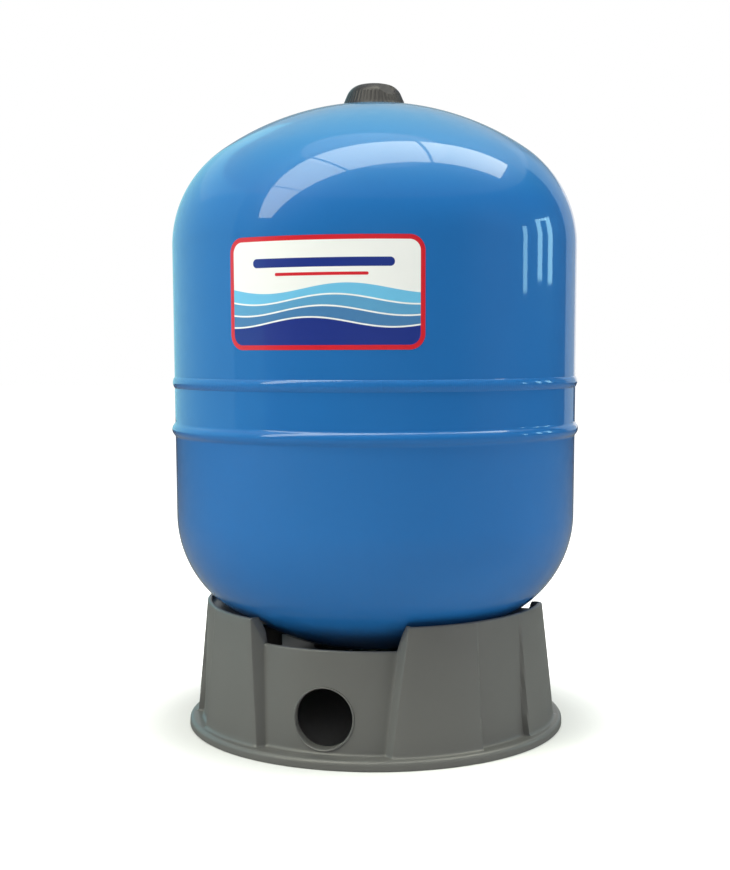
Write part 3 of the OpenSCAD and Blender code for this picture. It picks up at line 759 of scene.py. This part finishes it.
def stand_skin():
    """The stand's skirt with its windows, grip recesses, rounded rim and flared foot, as one closed moulding."""
    stand = sizes("stand")
    third = 2 * math.pi / 3
    # Steps across half a window and half a buttress: u 0 to 1 is the window's floor, 1 to 2 its side, 2 to 3 the rest
    half = np.concatenate([np.linspace(0, 0.9, 18, endpoint=False), np.linspace(0.9, 2.1, 34, endpoint=False),
                           np.linspace(2.1, 2.55, 14, endpoint=False), np.linspace(2.55, 2.8, 18, endpoint=False),
                           np.linspace(2.8, 3.0, 8, endpoint=False)])
    u = np.concatenate([half, 6 - np.concatenate([[3.0], half[1:][::-1]])])
    u = np.concatenate([u[:], []])
    columns = np.concatenate([u + 6 * k for k in range(3)])

    def turn_at(u, z):
        inner, outer = window_turns(z)
        cell = np.floor(u / 6)
        local = u - 6 * cell
        fold = np.where(local > 3, 6 - local, local)
        turn = np.where(fold < 1, fold * inner, np.where(fold < 2, inner + (fold - 1) * (outer - inner),
                                                          outer + (fold - 2) * (third / 2 - outer)))
        return cell * third + np.where(local > 3, third - turn, turn)

    local = columns % 6
    fold = np.where(local > 3, 6 - local, local)
    climb = np.clip((fold - 1.02) / 0.9, 0, 1)
    top = stand.window_height + (stand.height - stand.window_height) * climb
    foot, wall, rounding = stand.foot_height, stand.wall, stand.foot_round
    shelf = stand.radius - stand.window_depth - 3 * wall
    rows = []

    def row(radius, z):
        z = np.broadcast_to(z, columns.shape).astype(float)
        rows.append((turn_at(columns, z), np.broadcast_to(radius, columns.shape).astype(float), z))

    def on_wall(inset, z, grow=0.0):
        z = np.broadcast_to(z, columns.shape).astype(float)
        row(stand_wall(turn_at(columns, z), z, inset) + grow, z)

    row(stand.foot_radius - 0.0008, 0.0)
    row(stand.foot_radius, 0.0008)
    for a in np.linspace(0, 90, 8):
        # The foot's rounded edge
        row(stand.foot_radius - rounding * (1 - math.cos(math.radians(a))), foot - rounding * (1 - math.sin(math.radians(a))))
    for grow, lift in ((0.0042, 0.0), (0.0024, 0.0001), (0.0012, 0.0006), (0.0004, 0.0015), (0.0, 0.0030)):
        on_wall(0.0, foot + lift, grow)
    rise = np.linspace(0, 1, 30)[1:]
    rim = 0.0018
    for share in rise:
        on_wall(0.0, foot + 0.003 + (top - rim - foot - 0.003) * share)
    for a in (22, 45, 68, 90):
        on_wall(rim * (1 - math.cos(math.radians(a))), top - rim + rim * math.sin(math.radians(a)))
    for a in (60, 30, 0):
        on_wall(wall - 0.0012 * (1 - math.cos(math.radians(a))), top - 0.0012 + 0.0012 * math.sin(math.radians(a)))
    for share in np.linspace(1, 0, 14)[1:]:
        on_wall(wall, foot + (top - 0.0012 - foot) * share)
    row(shelf, foot)
    row(shelf, foot - wall)
    row(stand.foot_radius - wall, foot - wall)
    row(stand.foot_radius - wall, 0.0)

    points, grid = [], []
    for turns, radii, heights in rows:
        grid.append(range(len(points), len(points) + len(columns)))
        points += list(zip(radii * np.sin(turns), -radii * np.cos(turns), heights))
    faces = ring_grid(grid, closed_rows=True, closed_turn=True)
    skin = mesh_object("stand_skin", points, faces)
    point_outwards(skin)
    return skin


def drilled(obj, radius, height):
    """Cuts the pipe hole through the front wall."""
    bpy.ops.mesh.primitive_cylinder_add(vertices=96, radius=radius, depth=0.12, location=(0, -0.170, height),
                                        rotation=(math.pi / 2, 0, 0))
    drill = bpy.context.active_object
    cut = obj.modifiers.new("pipe hole", "BOOLEAN")
    cut.operation = "DIFFERENCE"
    cut.solver = "EXACT"
    cut.object = drill
    applied(obj)
    bpy.data.objects.remove(drill)
    return obj


def hole_collar():
    """Rounded collar of the pipe hole; its face follows the window's wall."""
    stand = sizes("stand")
    inner, outer = stand.hole, stand.hole + stand.collar_wall
    back = window_wall(stand.hole_height) - stand.collar
    section = [(inner, None), (inner, -0.0012), (inner + 0.0003, -0.0005), (inner + 0.0009, 0.0), (outer - 0.0006, 0.0),
               (outer - 0.0002, -0.0002), (outer, -0.0007), (outer, None)]
    steps = 128
    points, rows = [], []
    for i in range(steps):
        a = 2 * math.pi * i / steps
        rows.append(range(len(points), len(points) + len(section)))
        for r, depth in section:
            x, z = r * math.cos(a), stand.hole_height + r * math.sin(a)
            face = math.sqrt((window_wall(z) + 0.0012) ** 2 - x * x)
            points.append((x, -(back if depth is None else face + depth), z))
    collar = mesh_object("hole_collar", points, ring_grid(rows))
    point_outwards(collar)
    return collar


class TANK_OT_stand(bpy.types.Operator):
    """Build the moulded stand with its deck, ribs and stud spacers"""
    bl_idname = "tank.stand"
    bl_label = "Stand"

    def execute(self, context):
        stand = sizes("stand")
        coat = finish_for("stand")
        skin = drilled(stand_skin(), stand.hole + stand.collar_wall / 2, stand.hole_height)
        wall = stand.wall
        reach = 0.1650
        ring = [(stand.deck_opening, stand.deck), (stand.deck_opening, stand.deck - wall - 0.010),
                (stand.deck_opening + wall, stand.deck - wall - 0.010), (stand.deck_opening + wall, stand.deck - wall),
                (reach, stand.deck - wall), (reach, stand.deck)]
        deck = turned("deck", ring, 192)
        ribs = repeated("ribs", rib_pair(), coat)
        spacers = repeated("spacers", stud_spacer(), coat)
        lips = [seat_lip(turn) for turn in (60, 180, 300)]
        whole = joined("stand_moulding", [skin, hole_collar(), deck, ribs, spacers] + lips)
        whole.data.shade_smooth()
        whole.data.set_sharp_from_angle(angle=math.radians(34))
        finish_piece(whole, "root", "stand_plastic", coat, "base_stand")
        return {"FINISHED"}


def repeated(name, piece, material, count=3, first_turn=math.pi / 3):
    """Copies of a piece round the axis, as one plain mesh."""
    tree = repeat_tree()
    made = tree.apply(piece, Count=count, First_turn=first_turn, Material=material)
    bpy.data.node_groups.remove(tree.group)
    made.name = name
    return made


def rib_pair():
    """Two ribs below the deck, drawn about the front."""
    stand = sizes("stand")
    low = 0.018
    outline = [(0.078, stand.deck - 0.002), (0.178, stand.deck - 0.002), (0.181, low), (0.078, stand.deck - stand.wall - 0.010)]
    bm = bmesh.new()
    for side in (-1, 1):
        turn = Matrix.Rotation(math.radians(14 * side), 4, "Z")
        ends = [[bm.verts.new(turn @ Vector((x, -r, z))) for r, z in outline] for x in (-0.00175, 0.00175)]
        bm.faces.new(ends[0])
        bm.faces.new(ends[1][::-1])
        for i in range(4):
            k = (i + 1) % 4
            bm.faces.new((ends[0][i], ends[1][i], ends[1][k], ends[0][k]))
    bmesh.ops.recalc_face_normals(bm, faces=bm.faces)
    bmesh.ops.bevel(bm, geom=bm.edges, offset=0.0006, segments=2, affect="EDGES")
    mesh = bpy.data.meshes.new("rib")
    bm.to_mesh(mesh)
    bm.free()
    obj = bpy.data.objects.new("rib", mesh)
    bpy.context.scene.collection.objects.link(obj)
    return obj


def stud_spacer():
    """Spacer that carries the dome round a stud; its top follows the dome."""
    stand = sizes("stand")
    outer, inner, gap = 0.013, 0.0045, 0.0003
    steps = 48
    points, rows = [], []
    for i in range(steps):
        a = 2 * math.pi * i / steps
        rows.append(range(len(points), len(points) + 4))
        for r, high in ((outer, False), (outer, True), (inner, True), (inner, False)):
            x, y = r * math.sin(a), -stand.stud_circle - r * math.cos(a)
            z = pole_height() + dome_rise(math.hypot(x, y)) - gap if high else stand.deck - 0.002
            points.append((x, y, z))
    spacer = mesh_object("stud_spacer", points, ring_grid(rows))
    point_outwards(spacer)
    return spacer


def seat_lip(middle):
    """Lip along the top of one buttress; its edge follows the dome."""
    stand = sizes("stand")
    high = STAND[1].z - stand.seat_drop
    low = high - stand.wall
    pole = pole_height()

    def reach(z):
        r = np.linspace(0.05, 0.2032, 2000)
        rise = np.array([dome_rise(x) for x in r]) + pole
        return float(np.interp(z, rise, r)) + 0.0003

    outer = stand.radius - high * math.tan(stand.draft) - 0.002
    section = [(outer, low), (outer, high), (reach(high), high), (reach(low), low)]
    return turned("seat_lip", section, 24, math.radians(middle - 30.6), math.radians(61.2))


def thread_on(obj, material, radius, depth, low, high, pitch):
    tree = thread_tree()
    made = tree.apply(obj, Radius=radius, Depth=depth, Low=low, High=high, Turns=(high - low) / pitch, Material=material)
    bpy.data.node_groups.remove(tree.group)
    return made


def hexagon(name, flats, low, high, bore, chamfer=0.0008):
    """Hexagonal block round the axis with turned corners and a bore."""
    section = []
    corner = flats / math.sqrt(3)
    steps = 96
    points, rows = [], []
    for i in range(steps):
        a = 2 * math.pi * (i + 0.5) / steps
        flat = (a + math.pi / 6) % (math.pi / 3) - math.pi / 6
        side = flats / 2 / math.cos(flat)
        cut = min(side, corner - chamfer * 0.2)
        drop = max(0.0, (side - (corner - 1.6 * chamfer)) * 0.6)
        rows.append(range(len(points), len(points) + 6))
        section = [(bore, low), (corner - 1.7 * chamfer if side > corner - 1.7 * chamfer else side, low), (cut, low + drop),
                   (cut, high - drop), (corner - 1.7 * chamfer if side > corner - 1.7 * chamfer else side, high), (bore, high)]
        for r, z in section:
            points.append((r * math.sin(a), -r * math.cos(a), z))
    obj = mesh_object(name, points, ring_grid(rows), 25)
    point_outwards(obj)
    return obj


class TANK_OT_valve(bpy.types.Operator):
    """Build the air valve's body with its hexagon and stem thread"""
    bl_idname = "tank.valve"
    bl_label = "Air valve"

    def execute(self, context):
        brass = finish_for("brass")
        low, top = VALVE[0].z, VALVE[1].z
        hexagon_top = top - 0.006
        # The bore is wide as far down as the gasket travels
        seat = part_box("valve_core_gasket")[0].z - 0.0020
        stem = [(0.0026, top - 0.0005), (0.0029, top), (0.0033, top), (0.0036, top - 0.0004), (0.0036, hexagon_top),
                (0.0064, hexagon_top - 0.0018), (0.0065, low + 0.0006), (0.0060, low), (0.0019, low), (0.0019, seat),
                (0.0026, seat)]
        body = turned("valve_stem", stem, 96)
        body = thread_on(body, brass, 0.0036, 0.0003, hexagon_top + 0.0008, top - 0.0008, 0.0008)
        block = hexagon("valve_hexagon", 0.016, hexagon_top - 0.0035, hexagon_top, 0.0030)
        whole = joined("valve_body", [body, block])
        whole.data.shade_smooth()
        whole.data.set_sharp_from_angle(angle=math.radians(28))
        finish_piece(whole, "root", "valve_brass", brass, "air_valve_body")

        boss_low, boss_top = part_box("valve_boss")[0].z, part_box("valve_boss")[1].z
        section = [(0.00655, boss_top), (0.0231, boss_top), (0.0237, boss_top - 0.0003), (0.0240, boss_top - 0.0009)]
        pole = SHELL[1].z
        section += [(0.0240, pole - dome_rise(0.0240) + 0.0001), (0.0150, pole - dome_rise(0.0150) + 0.0001),
                    (0.00655, pole - dome_rise(0.00655) + 0.0001)]
        boss = turned("valve_boss_disc", section, 128)
        finish_piece(boss, "root", "shell_paint", finish_for("shell"), "valve_boss")
        return {"FINISHED"}


class TANK_OT_connection(bpy.types.Operator):
    """Build the threaded water connection under the tank and its weld"""
    bl_idname = "tank.connection"
    bl_label = "Water connection"

    def execute(self, context):
        steel = finish_for("stainless")
        low = PIPE[0].z
        root = 0.0159
        pole = pole_height()
        flange = PIPE[1].x
        gap = 0.0001
        outside = [(0.0130, low + 0.0006), (0.0136, low), (root - 0.0008, low), (root, low + 0.0008), (root, pole - 0.0068),
                   (0.0167, pole - 0.0060), (flange - 0.0006, pole - 0.0060), (flange, pole - 0.0054)]
        seat = [(r, pole + dome_rise(r) - gap) for r in np.linspace(flange, 0.0167, 6)]
        inside = [(0.0167, pole + 0.002), (0.0130, pole + 0.002)]
        nipple = turned("water_nipple", outside + seat + inside, 128)
        nipple = thread_on(nipple, steel, root, 0.0008, low + 0.0020, pole - 0.0085, 0.0022)
        nipple.data.shade_smooth()
        nipple.data.set_sharp_from_angle(angle=math.radians(30))
        finish_piece(nipple, "root", "stainless", steel, "water_connection")

        inner, leg = flange + 0.0001, 0.004
        bead = [(inner, pole - 0.0028)] + [(inner + leg * t, pole - 0.0028 + (dome_rise(inner + leg) + 0.0028) * t ** 1.6)
                                           for t in np.linspace(0.1, 1, 8)]
        bead += [(inner + leg * t, pole + dome_rise(inner + leg * t) - gap) for t in (0.66, 0.33, 0.0)]
        weld = turned("connection_weld_bead", bead, 160)
        finish_piece(weld, "root", "bare_steel", finish_for("steel"), "connection_weld")
        return {"FINISHED"}


class TANK_OT_fixings(bpy.types.Operator):
    """Build the studs, washers and nuts that hold the stand"""
    bl_idname = "tank.fixings"
    bl_label = "Stand fixings"

    def execute(self, context):
        stand = sizes("stand")
        zinc = finish_for("zinc")
        place = Vector((0, -stand.stud_circle, 0))

        def placed(obj):
            obj.data.transform(Matrix.Translation(place))
            return obj

        low = STUDS[0].z
        crown = pole_height() + dome_rise(stand.stud_circle)
        root = 0.00365
        pin = [(0.0002, low), (root - 0.0007, low), (root, low + 0.0007), (root, crown - 0.0012), (0.0002, crown - 0.0012)]
        stud = turned("stud", pin, 48)
        stud = placed(thread_on(stud, zinc, root, 0.0004, low + 0.0010, low + 0.016, 0.00125))
        studs = repeated("stud_set", stud, zinc)
        studs.data.shade_smooth()
        studs.data.set_sharp_from_angle(angle=math.radians(30))
        finish_piece(studs, "root", "zinc_steel", zinc, "weld_studs")

        nut = placed(hexagon("nut", 0.013, NUTS[0].z, NUTS[1].z, 0.00406))
        nuts = repeated("nut_set", nut, zinc)
        finish_piece(nuts, "root", "zinc_steel", zinc, "stud_nuts")

        flat_low, flat_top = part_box("stud_washers")[0].z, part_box("stud_washers")[1].z
        edge = [(0.0045, flat_low), (0.0096, flat_low), (0.0100, flat_low + 0.0003), (0.0100, flat_top - 0.0001),
                (0.0099, flat_top), (0.0045, flat_top)]
        washer = placed(turned("washer", edge, 64))
        washers = repeated("washer_set", washer, zinc)
        finish_piece(washers, "root", "zinc_steel", zinc, "stud_washers")
        return {"FINISHED"}


class TANK_OT_label(bpy.types.Operator):
    """Build the printed label, laid on the wall"""
    bl_idname = "tank.label"
    bl_label = "Front label"

    def execute(self, context):
        label = sizes("label")
        shell = sizes("shell")
        inner, outer = shell.radius + 0.00005, shell.radius + 0.00028
        middle = (LABEL[0].z + LABEL[1].z) / 2
        columns, rows_up = 120, 64
        half_w, half_h, corner = label.width / 2, label.height / 2, label.corner
        bm = bmesh.new()
        uv = bm.loops.layers.uv.new("label")
        spots = []
        for j in range(rows_up + 1):
            v = half_h * math.sin(math.pi / 2 * (2 * j / rows_up - 1))
            over = max(0.0, abs(v) - (half_h - corner))
            width = half_w - corner + math.sqrt(max(0.0, corner ** 2 - over ** 2))
            spots.append([(width * (2 * i / columns - 1), v) for i in range(columns + 1)])
        faces = {}
        layers = []
        for radius in (outer, inner):
            grid = []
            for line in spots:
                grid.append([])
                for s, v in line:
                    turn = label.turn + s / shell.radius
                    grid[-1].append(bm.verts.new((radius * math.sin(turn), -radius * math.cos(turn), middle + v)))
            layers.append(grid)

        def face(corners, flip=False):
            corners = corners[::-1] if flip else corners
            made = bm.faces.new([layers[k][j][i] for k, j, i in corners])
            for loop, (k, j, i) in zip(made.loops, corners):
                loop[uv].uv = spots[j][i]

        for j in range(rows_up):
            for i in range(columns):
                quad = [(0, j, i), (0, j, i + 1), (0, j + 1, i + 1), (0, j + 1, i)]
                face(quad)
                face([(1, b, c) for a, b, c in quad], flip=True)
        rim = [(0, i) for i in range(columns)] + [(j, columns) for j in range(rows_up)]
        rim += [(rows_up, i) for i in range(columns, 0, -1)] + [(j, 0) for j in range(rows_up, 0, -1)]
        for (j, i), (m, n) in zip(rim, rim[1:] + rim[:1]):
            face([(0, j, i), (1, j, i), (1, m, n), (0, m, n)])
        mesh = bpy.data.meshes.new("label_film")
        bm.to_mesh(mesh)
        bm.free()
        mesh.shade_smooth()
        mesh.set_sharp_from_angle(angle=math.radians(40))
        film = bpy.data.objects.new("label_film", mesh)
        context.scene.collection.objects.link(film)
        finish_piece(film, "root", "label_film", finish_for("film"), "front_label")
        return {"FINISHED"}


INNER_FINISHES = {
    "diaphragm": "rubber", "water_liner": "liner", "clamp_ring": "steel", "spout_o_ring": "rubber",
    "valve_seal": "rubber", "valve_core_barrel": "brass", "valve_core_pin": "stainless",
    "valve_core_spring": "stainless", "valve_core_gasket": "rubber",
}


class TANK_OT_inner_finishes(bpy.types.Operator):
    """Give the inner pieces their finishes"""
    bl_idname = "tank.inner_finishes"
    bl_label = "Inner pieces"

    def execute(self, context):
        for node, name in INNER_FINISHES.items():
            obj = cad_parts[node]
            material = finish_for(name)
            if not obj.data.materials:
                obj.data.materials.append(material)
            for index in range(len(obj.material_slots)):
                obj.material_slots[index].link = "OBJECT"
                obj.material_slots[index].material = material
        return {"FINISHED"}


# Studio

def lamp(name, place, aim, width, height, radiance, glossy=True, turn=0.0, colour=(1, 1, 1), diffuse=True):
    """A rectangular soft lamp of that radiance, out of the camera's sight."""
    data = bpy.data.lights.new(name, "AREA")
    data.shape = "RECTANGLE"
    data.size, data.size_y = width, height
    data.energy = radiance * math.pi * width * height
    data.color = colour
    obj = bpy.data.objects.new(name, data)
    bpy.context.scene.collection.objects.link(obj)
    away = (Vector(aim) - Vector(place)).normalized()
    obj.matrix_world = (Matrix.Translation(place) @ away.to_track_quat("-Z", "Y").to_matrix().to_4x4()
                        @ Matrix.Rotation(turn, 4, "Z"))
    obj.visible_camera = False
    obj.visible_glossy = glossy
    obj.visible_diffuse = diffuse
    return obj


def plain_material(name):
    material = bpy.data.materials.new(name)
    material.use_nodes = True
    material.node_tree.nodes.clear()
    return material


class TANK_OT_studio(bpy.types.Operator):
    """Build the floor, the lamps, the white surroundings and the camera"""
    bl_idname = "tank.studio"
    bl_label = "Studio"

    def execute(self, context):
        scene = context.scene
        scene.view_settings.view_transform = "Standard"
        self.floor()
        self.curtain("dark_curtain", -45, 150, (0.02, 0.02, 0.02))
        self.curtain("left_curtain_near", -66, -45, (0.14, 0.40, 0.46))
        self.curtain("left_curtain", -150, -66, (0.38, 0.78, 0.86))
        self.curtain("right_curtain", 150, 172, (0.42, 0.52, 0.58))
        self.curtain("back_curtain", 172, 210, (0.30, 0.34, 0.34), 2.2)
        self.curtain("upper_curtain", -180, 180, (0.30, 0.36, 0.36), 5.4, 16.0)
        self.surroundings(scene)
        self.lamps()
        self.camera(scene)
        return {"FINISHED"}

    def floor(self):
        bpy.ops.mesh.primitive_circle_add(vertices=96, radius=14.0, fill_type="NGON", location=(0, 0, -0.0002))
        floor = bpy.context.active_object
        floor.name = "floor"
        material = plain_material("pale floor")
        tree = material.node_tree
        nodes, links = tree.nodes, tree.links
        out = nodes.new("ShaderNodeOutputMaterial")
        matt = nodes.new("ShaderNodeBsdfDiffuse")
        glow = nodes.new("ShaderNodeEmission")
        glow.inputs["Color"].default_value = (1, 1, 1, 1)
        place = nodes.new("ShaderNodeTexCoord")
        reach = nodes.new("ShaderNodeVectorMath")
        reach.operation = "LENGTH"
        links.new(place.outputs["Object"], reach.inputs[0])
        rise = nodes.new("ShaderNodeMapRange")
        clear = nodes.new("ShaderNodeMapRange")
        # No glow under the stand; round its foot the glow is weaker, a painted shadow over the real one; white beyond
        foot = sizes("stand").foot_radius
        for ramp, limits in ((rise, (0.19, 0.34, 0.25, 1.0)), (clear, (foot - 0.004, foot + 0.002, 0.0, 1.0))):
            for name, number in zip(("From Min", "From Max", "To Min", "To Max"), limits):
                ramp.inputs[name].default_value = number
            links.new(reach.outputs["Value"], ramp.inputs["Value"])
        rise.interpolation_type = "SMOOTHSTEP"
        strength = nodes.new("ShaderNodeMath")
        strength.operation = "MULTIPLY"
        links.new(rise.outputs["Result"], strength.inputs[0])
        links.new(clear.outputs["Result"], strength.inputs[1])
        links.new(strength.outputs[0], glow.inputs["Strength"])
        both = nodes.new("ShaderNodeAddShader")
        links.new(matt.outputs[0], both.inputs[0])
        links.new(glow.outputs[0], both.inputs[1])
        path = nodes.new("ShaderNodeLightPath")
        # Painted shade in reflections: the gloss mirrors the floor as a darker grey than it has elsewhere
        grey = nodes.new("ShaderNodeMapRange")
        for name, number in (("From Min", 0.0), ("From Max", 1.0), ("To Min", 0.64), ("To Max", 0.23)):
            grey.inputs[name].default_value = number
        links.new(path.outputs["Is Glossy Ray"], grey.inputs["Value"])
        links.new(grey.outputs["Result"], matt.inputs["Color"])
        seen = nodes.new("ShaderNodeMixShader")
        links.new(path.outputs["Is Camera Ray"], seen.inputs["Fac"])
        links.new(matt.outputs[0], seen.inputs[1])
        links.new(both.outputs[0], seen.inputs[2])
        links.new(seen.outputs[0], out.inputs["Surface"])
        floor.data.materials.append(material)

    def curtain(self, name, first, last, colour, low=0.0, high=5.4):
        """Part of a round curtain that only the gloss mirrors. Turns in degrees from the front."""
        points, rows = [], []
        for turn in np.radians(np.linspace(first, last, 48)):
            rows.append(range(len(points), len(points) + 2))
            points += [(7.0 * math.sin(turn), -7.0 * math.cos(turn), z) for z in (low, high)]
        curtain = mesh_object(name, points, ring_grid(rows, closed_rows=False, closed_turn=False))
        material = plain_material(name)
        nodes = material.node_tree.nodes
        glow = nodes.new("ShaderNodeEmission")
        glow.inputs["Color"].default_value = (*colour, 1)
        material.node_tree.links.new(glow.outputs[0], nodes.new("ShaderNodeOutputMaterial").inputs["Surface"])
        curtain.data.materials.append(material)
        curtain.visible_camera = False
        curtain.visible_diffuse = False

    def surroundings(self, scene):
        world = bpy.data.worlds.new("white surroundings")
        scene.world = world
        world.use_nodes = True
        nodes, links = world.node_tree.nodes, world.node_tree.links
        nodes.clear()
        out = nodes.new("ShaderNodeOutputWorld")
        soft = nodes.new("ShaderNodeBackground")
        soft.inputs["Strength"].default_value = 0.12
        white = nodes.new("ShaderNodeBackground")
        white.inputs["Strength"].default_value = 1.0
        for shade in (soft, white):
            shade.inputs["Color"].default_value = (1, 1, 1, 1)
        path = nodes.new("ShaderNodeLightPath")
        first = nodes.new("ShaderNodeMath")
        first.operation = "MAXIMUM"
        both = nodes.new("ShaderNodeMath")
        both.operation = "MAXIMUM"
        links.new(path.outputs["Is Camera Ray"], first.inputs[0])
        links.new(path.outputs["Is Glossy Ray"], first.inputs[1])
        links.new(first.outputs[0], both.inputs[0])
        links.new(path.outputs["Is Transmission Ray"], both.inputs[1])
        mix = nodes.new("ShaderNodeMixShader")
        links.new(both.outputs[0], mix.inputs["Fac"])
        links.new(soft.outputs[0], mix.inputs[1])
        links.new(white.outputs[0], mix.inputs[2])
        links.new(mix.outputs[0], out.inputs["Surface"])

    def lamps(self):
        # Strip of four panels overhead, its long side along the direction below; edges at -0.115 and 0.82 across it
        height = 2.5
        along = Vector((0.755, 0.656, 0)).normalized()
        across = Vector((along.y, -along.x, 0))
        turn = math.atan2(along.y, along.x)
        ends = (2.14, 0.55, -0.85, -2.3, -6.5)
        for index, (first, last) in enumerate(zip(ends, ends[1:])):
            wide = first - last - 0.05
            place = along * (first + last) / 2 + across * 0.352
            place.z = height
            aim = place - Vector((0, 0, 1))
            lamp(f"overhead_panel_{index}", place, aim, wide, 0.935, 7.3, False, turn, (1.0, 1.05, 0.89))
            place.z -= 0.02
            lamp(f"overhead_gloss_{index}", place, aim, wide, 0.935, 5.6, True, turn, (1.0, 0.98, 0.80), False)
        behind = across * -2.4
        behind.z = height + 0.1
        lamp("ceiling_bounce", behind, behind - Vector((0, 0, 1)), 6.0, 4.2, 0.22, turn=turn)
        lamp("left_fill", (-3.0, -2.3, 1.2), (0, 0, 0.3), 2.2, 2.2, 2.6, glossy=False)
        lamp("front_fill", (1.6, -4.4, 1.2), (0, 0, 0.3), 3.0, 2.4, 1.15, glossy=False)
        lamp("right_fill", (4.0, -0.35, 1.2), (0, 0, 0.3), 2.2, 2.2, 3.8, glossy=False)
        pane = (0.5, 0.92, 1.0)
        lamp("window_pane_left", (3.125, 1.622, 1.0), (0, 0, 0.5), 0.26, 0.75, 5.6, colour=pane)
        lamp("window_pane_right", (2.754, 2.116, 1.0), (0, 0, 0.5), 0.30, 0.78, 4.6, colour=pane)
        lamp("window_pane_top", (2.945, 1.878, 1.35), (0, 0, 0.5), 0.40, 0.08, 5.0, colour=pane)
        lamp("window_pane_narrow", (3.412, 0.913, 0.86), (0, 0, 0.5), 0.20, 0.55, 6.0, colour=pane)

    def camera(self, scene):
        data = bpy.data.cameras.new("camera")
        camera = bpy.data.objects.new("camera", data)
        scene.collection.objects.link(camera)
        data.lens = 57.1
        data.sensor_width = 36.0
        data.shift_y = 0.0805
        data.clip_start, data.clip_end = 0.05, 60.0
        camera.location = (0.4051, -1.3608, 0.3847)
        camera.rotation_mode = "XYZ"
        heading, pitch, roll = math.radians(17), math.radians(6.45), math.radians(0.19)
        camera.rotation_euler = (Matrix.Rotation(heading, 3, "Z") @ Matrix.Rotation(math.pi / 2 - pitch, 3, "X")
                                 @ Matrix.Rotation(-roll, 3, "Z")).to_euler("XYZ")
        scene.camera = camera


PIECES = (TANK_OT_shells, TANK_OT_cap, TANK_OT_valve, TANK_OT_stand, TANK_OT_connection, TANK_OT_fixings,
          TANK_OT_label, TANK_OT_inner_finishes, TANK_OT_studio)


class TANK_PT_panel(bpy.types.Panel):
    """Buttons for the tank's pieces and its studio"""
    bl_idname = "TANK_PT_panel"
    bl_label = "Expansion tank"
    bl_space_type = "VIEW_3D"
    bl_region_type = "UI"
    bl_category = "Expansion tank"

    def draw(self, context):
        for piece in PIECES:
            self.layout.operator(piece.bl_idname)


GROUPS = {"shell": ShellSizes, "cap": CapSizes, "stand": StandSizes, "label": LabelSizes, "finish": FinishColours}


def register():
    for name, group in GROUPS.items():
        bpy.utils.register_class(group)
        setattr(bpy.types.Scene, "tank_" + name, PointerProperty(type=group))
    for piece in (*PIECES, TANK_PT_panel):
        bpy.utils.register_class(piece)


def unregister():
    for piece in reversed((*PIECES, TANK_PT_panel)):
        bpy.utils.unregister_class(piece)
    for name, group in GROUPS.items():
        delattr(bpy.types.Scene, "tank_" + name)
        bpy.utils.unregister_class(group)


def main():
    register()
    for piece in PIECES:
        kind, name = piece.bl_idname.split(".")
        getattr(getattr(bpy.ops, kind), name)()


if __name__ == "__main__":
    main()
